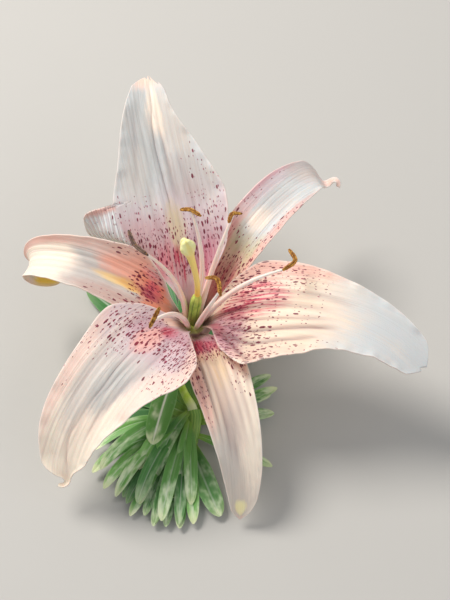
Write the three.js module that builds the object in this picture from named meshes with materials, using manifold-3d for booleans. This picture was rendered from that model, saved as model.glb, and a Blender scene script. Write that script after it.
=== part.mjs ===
// A cut lily lying on a table, in millimetres: one open bloom that faces up, and its short leafy stem.
// +X is the bloom's right side, +Y points away from the cut end of the stem, and +Z is up.
// The origin lies on the table, under the middle of the whole flower.

import * as THREE from 'three';
import Module from 'manifold-3d';
import { mergeVertices } from 'three/addons/utils/BufferGeometryUtils.js';

const wasm = await Module();
wasm.setup();

// Driving dimensions
const BLOOM_CENTRE = new THREE.Vector3(-11.6, -2.1, 22);
const INNER_CLAW = { radius: 4.8, height: 0 };
const OUTER_CLAW = { radius: 6.6, height: -1.7 };
const TEPAL_THICKNESS = { midrib: 1.1, margin: 0.7 };
const TEPAL_STRIPS = 10;
const LOBE_CREASE = { from: 0.62, to: 0.72 };
const SEAT_GAP = 0.3;

const RECEPTACLE = {
  top: -0.6, topRadius: 5, ledge: -2.45, rimRadius: 7.2, rimDepth: 0.6, neck: 3.2, length: 6,
};
const PEDICEL_RADIUS = 1.2;
const PEDICEL_ROOT_SWELL = 0.7;
const STEM_RADIUS = 2.7;
const STEM_FLAT_DEPTH = 0.35;

const LEAF_THICKNESS = 0.7;
const LEAF_KEEL = 0.28;
const LEAF_ROOT_OUT = 1.2;
const TABLE_CLEARANCE = 0.02;
const TABLE_SOFTNESS = 1.5;
const BELOW_TABLE = { width: 400, depth: 20 };
const LEAF_SEED = 7;

const FILAMENT_BASE = 2.85;
const FILAMENT_TILT_ROOM = 0.35;
const FILAMENT_RADIUS = 1.1;
const ANTHER_RADIUS = 0.65;
const ANTHER_SAG = 0.3;

// How finely curves and round bars are divided
const SPINE_STEPS = 400;
const FINE_STRIPS = 8;
const FILAMENT_DIVISIONS = { sides: 6, rings: 10 };
const ANTHER_DIVISIONS = { sides: 6, rings: 8 };
const OVARY_DIVISIONS = { sides: 12, rings: 8 };
const STYLE_DIVISIONS = { sides: 12, rings: 18 };
const PEDICEL_DIVISIONS = { sides: 10, rings: 14 };
const STEM_DIVISIONS = { sides: 12, rings: 12 };
const RECEPTACLE_SIDES = 20;

// The six tepals. Every track is a list of [distance along the tepal from 0 to 1, value]:
// rise is the midrib's slope in degrees, swing turns its heading, roll tips it about the midrib,
// widthLeft and widthRight are half widths, and the cups bend each side up towards its margin.
const TEPALS = [
  {
    name: 'tepal_upper_right',
    claw: OUTER_CLAW,
    heading: 48.5,
    length: 90.6,
    stations: 28,
    extraStations: [0.875, 0.91, 0.945, 0.98],
    rise: [
      [0, 58], [0.15, 44], [0.37, 24], [0.62, 2], [0.76, -16], [0.85, -60],
      [0.895, -52], [0.92, 10], [0.94, 45], [0.965, 10], [0.98, -40], [1, -60],
    ],
    swing: [
      [0, 4], [0.3, 2], [0.62, -4], [0.825, -14], [0.91, -20], [0.94, -30], [0.96, -65],
      [0.98, -105], [1, -170],
    ],
    roll: [[0, 0], [0.4, 4], [1, 8]],
    widthLeft: [
      [0, 2.4], [0.1, 4.6], [0.2, 8], [0.39, 10.5], [0.58, 11], [0.78, 9], [0.86, 5], [0.9, 2.4],
      [0.93, 1.3], [1, 0.8],
    ],
    widthRight: [
      [0, 2.4], [0.1, 4.6], [0.2, 7.6], [0.39, 8.5], [0.58, 7.8], [0.78, 5.6], [0.86, 2.6],
      [0.9, 1.6], [0.93, 1.3], [1, 0.8],
    ],
    cupLeft: [[0, 60], [0.3, 40], [0.6, 30], [1, 20]],
    cupRight: [[0, 60], [0.3, 30], [0.6, 10], [1, 20]],
  },
  {
    name: 'tepal_bottom',
    claw: OUTER_CLAW,
    heading: -73,
    length: 87,
    stations: 20,
    rise: [[0, 55], [0.15, 36], [0.3, 12], [0.5, -20], [0.75, -46], [1, -58]],
    swing: [[0, 0], [0.5, 0], [1, -22]],
    widthLeft: [
      [0, 2.4], [0.1, 4.8], [0.2, 9.5], [0.33, 12], [0.5, 11], [0.7, 9], [0.88, 6.5], [0.95, 4], [1, 0.4],
    ],
    widthRight: [
      [0, 2.4], [0.1, 4.8], [0.2, 9.3], [0.33, 10], [0.5, 8.9], [0.7, 7.2], [0.88, 4.9], [0.95, 3.6], [1, 0.4],
    ],
    cupLeft: [[0, 60], [0.3, 20], [0.6, 15], [1, 40]],
    cupRight: [[0, 60], [0.3, 20], [0.6, 15], [1, 40]],
  },
  {
    name: 'tepal_left',
    claw: OUTER_CLAW,
    heading: 163,
    length: 87,
    stations: 28,
    rise: [
      [0, 60], [0.15, 45], [0.36, 22], [0.57, 0], [0.71, -20], [0.79, -75], [0.88, -150],
      [0.94, -190], [1, -225],
    ],
    swing: [[0, 0], [0.4, 0], [0.8, 8], [1, 10]],
    roll: [[0, 0], [0.4, -6], [1, 0]],
    widthLeft: [
      [0, 2.4], [0.1, 4.8], [0.2, 9.5], [0.34, 12], [0.52, 11], [0.73, 9],
      [0.82, 6], [0.9, 4.8], [0.96, 3.6], [1, 1.6],
    ],
    widthRight: [
      [0, 2.4], [0.1, 4.4], [0.2, 9.4], [0.34, 13.8], [0.52, 11.4], [0.68, 9.5],
      [0.82, 6], [0.9, 4.8], [0.96, 3.6], [1, 1.6],
    ],
    cupLeft: [[0, 60], [0.3, 30], [0.6, 30], [1, 40]],
    cupRight: [[0, 60], [0.15, 60], [0.3, 60], [0.6, 72], [1, 60]],
  },
  {
    name: 'tepal_top',
    claw: INNER_CLAW,
    heading: 99,
    length: 95,
    stations: 20,
    extraStations: [0.33, 0.37, 0.43, 0.465, 0.482, 0.493, 0.5045, 0.509, 0.98],
    rise: [[0, 66], [0.2, 48], [0.5, 28], [0.8, 20], [1, 8]],
    swing: [[0, 0], [0.35, 5], [0.7, 5], [1, -4]],
    widthLeft: [
      [0, 2], [0.1, 5.2], [0.2, 10.6], [0.27, 15.5], [0.31, 22], [0.345, 31], [0.38, 37], [0.42, 38],
      [0.45, 36.6], [0.474, 35.2], [0.486, 33.9], [0.494, 32.2], [0.5, 29.5], [0.504, 24.5],
      [0.508, 22.2], [0.53, 21.6], [0.65, 17.6], [0.85, 11.5], [0.93, 8], [0.97, 6], [1, 2.5],
    ],
    widthRight: [
      [0, 2], [0.1, 6], [0.2, 12.5], [0.3, 18], [0.45, 20.5], [0.65, 14.8], [0.85, 7.2], [0.95, 5], [1, 1],
    ],
    cupLeft: [[0, 70], [0.1, 30], [0.2, -15], [0.3, -25], [0.5, 0], [1, 25]],
    cupRight: [[0, 70], [0.3, 30], [0.6, 15], [1, 30]],
    lobeTurn: [[0, 0], [0.22, 0], [0.31, -50], [0.42, -42], [0.475, -24], [0.505, -8], [0.53, 0], [1, 0]],
  },
  {
    name: 'tepal_lower_left',
    claw: INNER_CLAW,
    heading: -126,
    length: 94.6,
    stations: 20,
    extraStations: [0.925, 0.975],
    rise: [
      [0, 58], [0.15, 40], [0.35, 12], [0.6, -25], [0.85, -52], [0.93, -52], [0.955, -40],
      [0.975, -15], [1, 15],
    ],
    swing: [
      [0, -14], [0.35, -1], [0.65, 0], [0.86, 9], [0.92, 29], [0.95, 32], [0.972, -20], [1, -75],
    ],
    widthLeft: [
      [0, 2], [0.1, 7], [0.2, 15.5], [0.25, 20.3], [0.3, 23.7], [0.35, 24.8], [0.4, 23.3], [0.5, 17.6],
      [0.6, 13.9], [0.7, 10.8], [0.87, 6.3], [0.925, 2.4], [0.95, 1.2], [1, 0.7],
    ],
    widthRight: [
      [0, 2], [0.1, 7], [0.2, 15], [0.3, 20], [0.45, 18], [0.7, 16], [0.87, 11], [0.925, 5],
      [0.95, 1.5], [1, 0.7],
    ],
    cupLeft: [[0, 70], [0.3, 30], [0.6, 20], [0.92, 45], [1, 20]],
    cupRight: [[0, 70], [0.3, 30], [0.6, 20], [0.92, 45], [1, 20]],
  },
  {
    name: 'tepal_right',
    claw: INNER_CLAW,
    heading: -12,
    length: 97,
    stations: 20,
    rise: [[0, 58], [0.15, 42], [0.35, 22], [0.6, 0], [0.85, -22], [1, -30]],
    swing: [[0, 6], [0.4, 0], [0.7, -8], [1, -28]],
    widthLeft: [
      [0, 2], [0.1, 6], [0.2, 13], [0.32, 18], [0.45, 17], [0.65, 13], [0.85, 9], [0.95, 6.5], [1, 3],
    ],
    widthRight: [
      [0, 2], [0.1, 8], [0.2, 21], [0.3, 27], [0.42, 24], [0.65, 15.5], [0.85, 12], [0.95, 9.5], [1, 5],
    ],
    cupLeft: [[0, 70], [0.3, 30], [0.6, 15], [1, 30]],
    cupRight: [[0, 70], [0.3, 20], [0.6, 15], [1, 30]],
  },
];

// Stamens, named by where they lean. tip and bow are from the middle of the bloom: bow is how far the
// filament's middle leaves the straight line. The anther is shaped by start, middle and end,
// and its point at the fraction hold of its length sits on the filament's tip.
const STAMENS = [
  {
    name: 'upper', baseHeading: 104, tip: [0.2, 20.5, 45], bow: [8, -4, 2], hold: 0.5,
    anther: { start: [-3.8, 1.9, -1.2], middle: [-0.2, 0.6, 0.6], end: [3.6, -1.9, 0.4] },
  },
  {
    name: 'upper_right', baseHeading: 46, tip: [15.2, 21.4, 41.6], bow: [-1, 0, 3], hold: 0.62,
    anther: { start: [-2.8, -3, 0.8], middle: [-1.4, 1.2, 0.2], end: [2, 2.2, -1.2] },
  },
  {
    name: 'right', baseHeading: -8, tip: [32.6, 1.4, 36], bow: [-4, 0, 10], hold: 0.97,
    anther: { start: [2.4, 8.4, 0], middle: [4.4, 3.4, 0.4], end: [0, -0.4, 0] },
  },
  {
    name: 'lower_right', baseHeading: -66, tip: [10.3, -14.2, 47], bow: [-1, 0, -2], hold: 0.85,
    anther: { start: [-4.6, 6.6, 0], middle: [-0.8, 5.6, 1], end: [0.6, -0.6, 0] },
  },
  {
    name: 'lower_left', baseHeading: -124, tip: [-12.4, -21.4, 40], bow: [3, 0.6, 13], hold: 0.68,
    anther: { start: [1.8, 1.4, 4.2], middle: [0, 0, 0], end: [-2, -1.6, -4.4] },
  },
  {
    name: 'left', baseHeading: 168, tip: [-15.5, 2, 46], bow: [7, 2, 3], hold: 0.9,
    anther: { start: [-6.8, 10.4, 0], middle: [-4.4, 4.2, 0.4], end: [0.4, 0, 0] },
  },
];

const OVARY_LINE = [[0, 0, -0.2], [0.4, 0.3, 6], [1.1, 0.8, 12], [1.9, 1.3, 17.4]];
const OVARY_GROOVE = 0.06;
const STYLE_LINE = [[1.95, 1.35, 17.9], [2.1, 1.5, 26], [1, 1.8, 38], [-1.6, 2.6, 53]];

// The stem lies on the table, from the cut end to the whorl, and the pedicel rises to the bloom.
const STEM_HEIGHT = STEM_RADIUS - STEM_FLAT_DEPTH;
const STEM_LINE = [[-7, -65, STEM_HEIGHT], [-4, -52, STEM_HEIGHT], [-0.4, -40, STEM_HEIGHT],
  [0.6, -32.2, 4.4], [0.3, -31, 4.7], [0, -29.8, 5]];
const PEDICEL_LINE = [[-0.08, -29.48, 5.08], [-0.38, -28.28, 5.38], [-3.6, -22.4, 7], [-6.6, -14, 10.2],
  [-4, -5.6, 15.4], [0, 0, 20]];

// Each tier of leaves grows from one place on the stem: headings are swept from first to last,
// arch is the share of the way that a leaf bends towards LEAF_TOWARDS,
// lift and droop are the slopes, in degrees, at the leaf's root and tip, and a leaf lies on the
// layers of leaves below it, one layer for each tier and one more for every second leaf.
const LEAF_TIERS = [
  {
    root: [-4, -47, 3.2], count: 7, first: -152, last: -84, arch: 0.8,
    length: 29, halfWidth: 2.4, lift: 6, droop: -8, layer: 0,
  },
  {
    root: [-3, -40, 3.6], count: 7, first: -160, last: -76, arch: 0.8,
    length: 36, halfWidth: 2.5, lift: 18, droop: -16, layer: 2,
  },
  {
    root: [-2, -35, 4], count: 6, first: -168, last: -82, arch: 0.8,
    length: 38, halfWidth: 2.6, lift: 30, droop: -22, layer: 4,
  },
  {
    root: [-1, -32, 4], count: 3, first: -140, last: -90, arch: 0.8,
    length: 31, halfWidth: 2.8, lift: 44, droop: -34, layer: 6,
  },
  {
    root: [0.5, -34, 2.8], count: 4, first: 7, last: 33, arch: 0,
    length: 32, halfWidth: 2.5, lift: 8, droop: -4, layer: 0,
  },
  {
    root: [0, -31.5, 1.3], count: 4, first: 50, last: 100, arch: 0,
    length: 54, halfWidth: 3.2, lift: 0, droop: 0, layer: 0,
  },
  {
    root: [-0.6, -33, 1.6], count: 4, first: 134, last: 198, arch: 0,
    length: 42, halfWidth: 5, lift: 4, droop: 0, layer: 0,
  },
];
const SINGLE_LEAVES = [
  {
    root: [0, -31.5, 1.3], heading: 112, bend: 31,
    length: 72, halfWidth: 5.4, lift: 0, droop: 0, layer: 1,
  },
  {
    root: [-1, -38, 3], heading: -24, bend: 0,
    length: 33, halfWidth: 2.3, lift: 8, droop: -6, layer: 1,
  },
  {
    root: [-1.5, -40, 3], heading: -74, bend: 10,
    length: 33, halfWidth: 4.2, lift: 14, droop: -12, layer: 1,
  },
  {
    root: [-0.5, -31.5, 1.3], heading: 104, bend: -4,
    length: 66, halfWidth: 5.2, lift: 0, droop: 0, layer: 1,
  },
];
// A small leaf halfway up the pedicel, which hangs down over the others
const PEDICEL_LEAF = {
  root: [-6.6, -14, 10.2], heading: -105, bend: 2,
  length: 33, halfWidth: 4.6, lift: 18, droop: -8, layer: 0,
};
const LEAF_TOWARDS = -95;
const LEAF_LAYER = 0.85;
const LEAF_STAGGER = new THREE.Vector3(0, 2.4, 0.7);
const LEAF_WIDTH = [[0, 0.35], [0.2, 0.68], [0.5, 1], [0.8, 0.88], [0.92, 0.7], [1, 0.25]];
const LEAF_STATIONS = 6;
const LEAF_STATION_BIAS = 1.4;
const LEAF_DROOP_POWER = 0.8;
const LEAF_VARIATION = { heading: 3, length: 0.07, halfWidth: 0.1, lift: 0.2 };

// Materials
const surface = (color, roughness) => new THREE.MeshStandardMaterial({ color, roughness, metalness: 0 });
const MATERIALS = {
  tepal: surface(0xf0d9cf, 0.55),
  filament: surface(0xf3d3c9, 0.5),
  anther: surface(0x8a4a1c, 0.8),
  ovary: surface(0x7fae45, 0.45),
  style: surface(0xeadb5a, 0.4),
  pedicel: surface(0xa9c23f, 0.45),
  leaf: surface(0x4f8a4c, 0.5),
};

// A smooth curve through knots of [place, value] that never overshoots them
function valueAlong(knots, place) {
  const last = knots.length - 1;
  if (place <= knots[0][0]) return knots[0][1];
  if (place >= knots[last][0]) return knots[last][1];
  const i = knots.findIndex(([x]) => x > place) - 1;
  const slope = (k) => (knots[k + 1][1] - knots[k][1]) / (knots[k + 1][0] - knots[k][0]);
  const step = knots[i + 1][0] - knots[i][0];
  const t = (place - knots[i][0]) / step;
  return (
    (2 * t ** 3 - 3 * t ** 2 + 1) * knots[i][1] +
    (t ** 3 - 2 * t ** 2 + t) * step * knotSlope(knots, i, slope) +
    (3 * t ** 2 - 2 * t ** 3) * knots[i + 1][1] +
    (t ** 3 - t ** 2) * step * knotSlope(knots, i + 1, slope)
  );
}

// The slope at a knot: flat at a peak, and between its two neighbours' slopes elsewhere
function knotSlope(knots, k, slope) {
  if (k === 0) return slope(0);
  if (k === knots.length - 1) return slope(k - 1);
  const before = slope(k - 1);
  const after = slope(k);
  if (before * after <= 0) return 0;
  const stepBefore = knots[k][0] - knots[k - 1][0];
  const stepAfter = knots[k + 1][0] - knots[k][0];
  const weightBefore = 2 * stepAfter + stepBefore;
  const weightAfter = stepAfter + 2 * stepBefore;
  return (weightBefore + weightAfter) / (weightBefore / before + weightAfter / after);
}

const degrees = THREE.MathUtils.degToRad;

function direction(heading, rise) {
  const flat = Math.cos(degrees(rise));
  return new THREE.Vector3(
    flat * Math.cos(degrees(heading)),
    flat * Math.sin(degrees(heading)),
    Math.sin(degrees(rise)),
  );
}

// Points along a midrib, found by adding up its short straight steps
function midribPoints(start, length, directionAt) {
  const points = [start.clone()];
  for (let k = 0; k < SPINE_STEPS; k += 1) {
    const step = directionAt((k + 0.5) / SPINE_STEPS).multiplyScalar(length / SPINE_STEPS);
    points.push(points[k].clone().add(step));
  }
  return points;
}

function pointAt(points, place) {
  const exact = place * (points.length - 1);
  const k = Math.min(Math.floor(exact), points.length - 2);
  return points[k].clone().lerp(points[k + 1], exact - k);
}

// A closed thin blade: a grid of middle points is moved out along its normals to both faces.
// Rows run from root to tip, and each row from the right margin to the left one.
function bladeGeometry(middle, halfThickness) {
  const rows = middle.length;
  const columns = middle[0].length;
  const positions = [];
  for (const side of [1, -1]) {
    for (let i = 0; i < rows; i += 1) {
      for (let j = 0; j < columns; j += 1) {
        const along = middle[Math.min(i + 1, rows - 1)][j].clone().sub(middle[Math.max(i - 1, 0)][j]);
        const across = middle[i][Math.min(j + 1, columns - 1)].clone().sub(middle[i][Math.max(j - 1, 0)]);
        const out = along.cross(across).normalize().multiplyScalar(side * halfThickness(i, j));
        positions.push(...middle[i][j].clone().add(out).toArray());
      }
    }
  }
  const upper = (i, j) => i * columns + j;
  const lower = (i, j) => rows * columns + upper(i, j);
  const faces = [];
  const quad = (a, b, c, d) => faces.push(a, b, c, a, c, d);
  for (let i = 0; i < rows - 1; i += 1) {
    for (let j = 0; j < columns - 1; j += 1) {
      quad(upper(i, j), upper(i + 1, j), upper(i + 1, j + 1), upper(i, j + 1));
      faces.push(lower(i, j), lower(i + 1, j + 1), lower(i + 1, j));
      faces.push(lower(i, j), lower(i, j + 1), lower(i + 1, j + 1));
    }
    const end = columns - 1;
    quad(upper(i, 0), lower(i, 0), lower(i + 1, 0), upper(i + 1, 0));
    quad(upper(i, end), upper(i + 1, end), lower(i + 1, end), lower(i, end));
  }
  for (let j = 0; j < columns - 1; j += 1) {
    const end = rows - 1;
    quad(upper(0, j), upper(0, j + 1), lower(0, j + 1), lower(0, j));
    quad(upper(end, j), lower(end, j), lower(end, j + 1), upper(end, j + 1));
  }
  return closedGeometry(positions, faces);
}

function closedGeometry(positions, faces) {
  const geometry = new THREE.BufferGeometry();
  geometry.setAttribute('position', new THREE.Float32BufferAttribute(positions, 3));
  geometry.setIndex(faces);
  geometry.computeVertexNormals();
  return geometry;
}

// A closed round bar along a curve, whose radius may change with the place and with the turn
function barGeometry(line, radius, { sides, rings }) {
  const curve = new THREE.CatmullRomCurve3(line.map((p) => new THREE.Vector3(...p)));
  const frames = curve.computeFrenetFrames(rings, false);
  const positions = [];
  for (let i = 0; i <= rings; i += 1) {
    const centre = curve.getPointAt(i / rings);
    for (let j = 0; j < sides; j += 1) {
      const turn = (2 * Math.PI * j) / sides;
      const out = frames.normals[i].clone().multiplyScalar(Math.cos(turn));
      out.addScaledVector(frames.binormals[i], Math.sin(turn)).multiplyScalar(radius(i / rings, turn));
      positions.push(...centre.clone().add(out).toArray());
    }
  }
  const first = positions.length / 3;
  positions.push(...curve.getPointAt(0).toArray(), ...curve.getPointAt(1).toArray());
  const faces = [];
  for (let j = 0; j < sides; j += 1) {
    const next = (j + 1) % sides;
    for (let i = 0; i < rings; i += 1) {
      const here = i * sides;
      faces.push(here + j, here + next, here + sides + next);
      faces.push(here + j, here + sides + next, here + sides + j);
    }
    faces.push(first, next, j);
    faces.push(first + 1, rings * sides + j, rings * sides + next);
  }
  return closedGeometry(positions, faces);
}

// Joining and cutting of closed solids
function solidOf(geometry) {
  const bare = geometry.clone();
  bare.deleteAttribute('normal');
  bare.deleteAttribute('uv');
  const merged = mergeVertices(bare, 1e-4);
  return new wasm.Manifold(
    new wasm.Mesh({
      numProp: 3,
      vertProperties: merged.attributes.position.array,
      triVerts: new Uint32Array(merged.index.array),
    }),
  );
}

function geometryOf(solid) {
  const mesh = solid.getMesh();
  return closedGeometry(Array.from(mesh.vertProperties), Array.from(mesh.triVerts));
}

// Tepals
function tepalGeometry(tepal) {
  const headingAt = (s) => tepal.heading + valueAlong(tepal.swing, s);
  const start = direction(tepal.heading, 0).multiplyScalar(tepal.claw.radius);
  start.z = tepal.claw.height;
  const alongAt = (s) => direction(headingAt(s), valueAlong(tepal.rise, s));
  const midrib = midribPoints(start, tepal.length, alongAt);
  const even = Array.from({ length: tepal.stations + 1 }, (_, i) => i / tepal.stations);
  const stations = [...even, ...(tepal.extraStations ?? [])].sort((a, b) => a - b);
  const middle = stations.map((s) => {
    const along = alongAt(s);
    const across = direction(headingAt(s) + 90, 0);
    across.applyAxisAngle(along, degrees(valueAlong(tepal.roll ?? [[0, 0]], s)));
    const up = along.clone().cross(across);
    return tepalRow(tepal, s, pointAt(midrib, s), across, up);
  });
  const { midrib: thick, margin: thin } = TEPAL_THICKNESS;
  const half = TEPAL_STRIPS / 2;
  return bladeGeometry(middle, (i, j) => 0.5 * (thick + (thin - thick) * Math.abs(j / half - 1)));
}

// One cross-section of a tepal, from its right margin to its left one
function tepalRow(tepal, s, centre, across, up) {
  const half = TEPAL_STRIPS / 2;
  const right = sideOffsets(valueAlong(tepal.widthRight, s), valueAlong(tepal.cupRight, s), 0);
  const turn = valueAlong(tepal.lobeTurn ?? [[0, 0]], s);
  const left = sideOffsets(valueAlong(tepal.widthLeft, s), valueAlong(tepal.cupLeft, s), turn);
  const row = [];
  for (let j = half; j > 0; j -= 1) {
    row.push(centre.clone().addScaledVector(across, -right[j].out).addScaledVector(up, right[j].up));
  }
  for (let j = 0; j <= half; j += 1) {
    row.push(centre.clone().addScaledVector(across, left[j].out).addScaledVector(up, left[j].up));
  }
  return row;
}

// How far each strip's edge lies out and up, as the side bends up by its cup angle
// and, past the crease of a side lobe, back by the lobe's angle
function sideOffsets(width, cup, lobeTurn) {
  const steps = (TEPAL_STRIPS / 2) * FINE_STRIPS;
  const offsets = [{ out: 0, up: 0 }];
  let out = 0;
  let up = 0;
  for (let k = 0; k < steps; k += 1) {
    const q = (k + 0.5) / steps;
    const folded = THREE.MathUtils.smoothstep(q, LOBE_CREASE.from, LOBE_CREASE.to);
    const angle = degrees(cup * q + lobeTurn * folded);
    out += (width * Math.cos(angle)) / steps;
    up += (width * Math.sin(angle)) / steps;
    if ((k + 1) % FINE_STRIPS === 0) offsets.push({ out, up });
  }
  return offsets;
}

// Stamens and pistil
function filamentLine(stamen) {
  const foot = direction(stamen.baseHeading, 0).multiplyScalar(FILAMENT_BASE);
  foot.z = RECEPTACLE.top + SEAT_GAP + FILAMENT_TILT_ROOM;
  const tip = new THREE.Vector3(...stamen.tip);
  const control = foot.clone().lerp(tip, 0.5).add(new THREE.Vector3(...stamen.bow));
  return new THREE.QuadraticBezierCurve3(foot, control, tip).getPoints(8).map((p) => p.toArray());
}

function filamentGeometry(stamen) {
  const taper = [[0, 0.65], [0.2, 1], [0.6, 0.8], [1, 0.3]];
  return barGeometry(filamentLine(stamen), (s) => FILAMENT_RADIUS * valueAlong(taper, s), FILAMENT_DIVISIONS);
}

function antherGeometry(stamen) {
  const { start, middle, end } = stamen.anther;
  const shape = [start, middle, end].map((p) => new THREE.Vector3(...p));
  const [before, tip] = filamentLine(stamen).slice(-2).map((p) => new THREE.Vector3(...p));
  const onward = tip.clone().sub(before).normalize();
  const seat = tip.clone().addScaledVector(onward, ANTHER_RADIUS + ANTHER_SAG + SEAT_GAP);
  const shift = seat.sub(new THREE.CatmullRomCurve3(shape).getPointAt(stamen.hold));
  const line = shape.map((p) => p.add(shift).toArray());
  const taper = [[0, 0.45], [0.15, 0.9], [0.5, 1], [0.85, 0.9], [1, 0.45]];
  return barGeometry(line, (s) => ANTHER_RADIUS * valueAlong(taper, s), ANTHER_DIVISIONS);
}

function ovaryGeometry() {
  const swell = [[0, 1.4], [0.35, 2.1], [0.75, 2.2], [0.93, 1.8], [1, 1.2]];
  const radius = (s, turn) => valueAlong(swell, s) * (1 + OVARY_GROOVE * Math.cos(6 * turn));
  return barGeometry(OVARY_LINE, radius, OVARY_DIVISIONS);
}

// The style widens to a stigma of three rounded lobes
function styleGeometry() {
  const swell = [[0, 1], [0.5, 1.15], [0.75, 1.5], [0.86, 2.3], [0.93, 2.7], [0.98, 2.1], [1, 1.1]];
  const lobes = [[0, 0], [0.8, 0], [0.92, 0.14], [1, 0.2]];
  const radius = (s, turn) => valueAlong(swell, s) * (1 + valueAlong(lobes, s) * Math.cos(3 * turn));
  return barGeometry(STYLE_LINE, radius, STYLE_DIVISIONS);
}

// Stem, pedicel and leaves
function receptacleSolid() {
  const { top, topRadius, ledge, rimRadius, rimDepth, neck, length } = RECEPTACLE;
  const profile = [
    [0, top],
    [topRadius, top],
    [topRadius + SEAT_GAP, ledge],
    [rimRadius, ledge],
    [rimRadius, ledge - rimDepth],
    [neck, ledge - 0.7 * length],
    [PEDICEL_RADIUS, ledge - length],
    [0, ledge - length],
  ];
  const points = profile.map(([x, y]) => new THREE.Vector2(x, y)).reverse();
  const lathe = new THREE.LatheGeometry(points, RECEPTACLE_SIDES);
  lathe.rotateX(Math.PI / 2);
  lathe.translate(0, 0, BLOOM_CENTRE.z);
  return solidOf(lathe);
}

function pedicelGeometry() {
  const radius = (s) => PEDICEL_RADIUS + PEDICEL_ROOT_SWELL * (1 - s) ** 3;
  const bar = barGeometry(PEDICEL_LINE, radius, PEDICEL_DIVISIONS);
  return geometryOf(receptacleSolid().add(solidOf(bar)).add(solidOf(leafGeometry(PEDICEL_LEAF))));
}

function leafGeometry(leaf) {
  const slope = (s) => leaf.lift + (leaf.droop - leaf.lift) * s ** LEAF_DROOP_POWER;
  const headingAt = (s) => leaf.heading + leaf.bend * s;
  const root = new THREE.Vector3(...leaf.root).addScaledVector(direction(leaf.heading, 0), LEAF_ROOT_OUT);
  const points = midribPoints(root, leaf.length, (s) => direction(headingAt(s), slope(s)));
  const lowest = LEAF_THICKNESS / 2 + TABLE_CLEARANCE + leaf.layer * LEAF_LAYER;
  for (const p of points) {
    p.z = lowest + Math.log1p(Math.exp((p.z - lowest) * TABLE_SOFTNESS)) / TABLE_SOFTNESS;
  }
  const middle = [];
  for (let i = 0; i <= LEAF_STATIONS; i += 1) {
    const s = 1 - (1 - i / LEAF_STATIONS) ** LEAF_STATION_BIAS;
    const across = direction(headingAt(s) + 90, 0);
    const width = leaf.halfWidth * valueAlong(LEAF_WIDTH, s);
    const centre = pointAt(points, s);
    const row = [-1, 0, 1].map((q) => {
      const p = centre.clone().addScaledVector(across, q * width);
      p.z += LEAF_KEEL * width * Math.abs(q);
      return p;
    });
    middle.push(row);
  }
  return bladeGeometry(middle, () => LEAF_THICKNESS / 2);
}

function leafList() {
  const random = seededRandom(LEAF_SEED);
  const eitherWay = (most) => most * (2 * random() - 1);
  const leaves = [];
  for (const tier of LEAF_TIERS) {
    for (let i = 0; i < tier.count; i += 1) {
      const share = (i + 0.5) / tier.count;
      const heading = tier.first + (tier.last - tier.first) * share + eitherWay(LEAF_VARIATION.heading);
      const bend = (LEAF_TOWARDS - heading) * tier.arch;
      leaves.push({
        ...tier,
        root: new THREE.Vector3(...tier.root).addScaledVector(LEAF_STAGGER, i % 2).toArray(),
        heading: heading - bend / 2,
        bend,
        length: tier.length * (1 + eitherWay(LEAF_VARIATION.length)),
        halfWidth: tier.halfWidth * (1 + eitherWay(LEAF_VARIATION.halfWidth)),
        lift: tier.lift * (1 + eitherWay(LEAF_VARIATION.lift)),
        layer: tier.layer + (i % 2),
      });
    }
  }
  return [...leaves, ...SINGLE_LEAVES];
}

function seededRandom(seed) {
  let state = seed;
  return () => {
    state = (state + 0x6d2b79f5) | 0;
    let mixed = Math.imul(state ^ (state >>> 15), 1 | state);
    mixed = (mixed + Math.imul(mixed ^ (mixed >>> 7), 61 | mixed)) ^ mixed;
    return ((mixed ^ (mixed >>> 14)) >>> 0) / 4294967296;
  };
}

function leafyStemGeometry() {
  let whole = solidOf(barGeometry(STEM_LINE, () => STEM_RADIUS, STEM_DIVISIONS));
  for (const leaf of leafList()) {
    whole = whole.add(solidOf(leafGeometry(leaf)));
  }
  const { width, depth } = BELOW_TABLE;
  const table = new THREE.BoxGeometry(width, width, depth).translate(0, 0, -depth / 2);
  return geometryOf(filled(whole.subtract(solidOf(table))));
}

// The largest body without its sealed hollows, which leaves that cross can enclose
function filled(solid) {
  return solid.decompose().reduce((largest, body) => (body.volume() > largest.volume() ? body : largest));
}

// The whole flower
function named(name, geometry, material) {
  const mesh = new THREE.Mesh(geometry, material);
  mesh.name = name;
  return mesh;
}

const flower = new THREE.Group();
flower.name = 'lily';

const bloom = new THREE.Group();
bloom.position.copy(BLOOM_CENTRE);
for (const tepal of TEPALS) {
  bloom.add(named(tepal.name, tepalGeometry(tepal), MATERIALS.tepal));
}
for (const stamen of STAMENS) {
  bloom.add(named(`filament_${stamen.name}`, filamentGeometry(stamen), MATERIALS.filament));
  bloom.add(named(`anther_${stamen.name}`, antherGeometry(stamen), MATERIALS.anther));
}
bloom.add(named('ovary', ovaryGeometry(), MATERIALS.ovary));
bloom.add(named('style_and_stigma', styleGeometry(), MATERIALS.style));
flower.add(bloom);

const stem = new THREE.Group();
stem.position.set(BLOOM_CENTRE.x, BLOOM_CENTRE.y, 0);
stem.add(named('pedicel', pedicelGeometry(), MATERIALS.pedicel));
stem.add(named('leafy_stem', leafyStemGeometry(), MATERIALS.leaf));
flower.add(stem);

export default flower;
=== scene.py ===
import math

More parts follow.
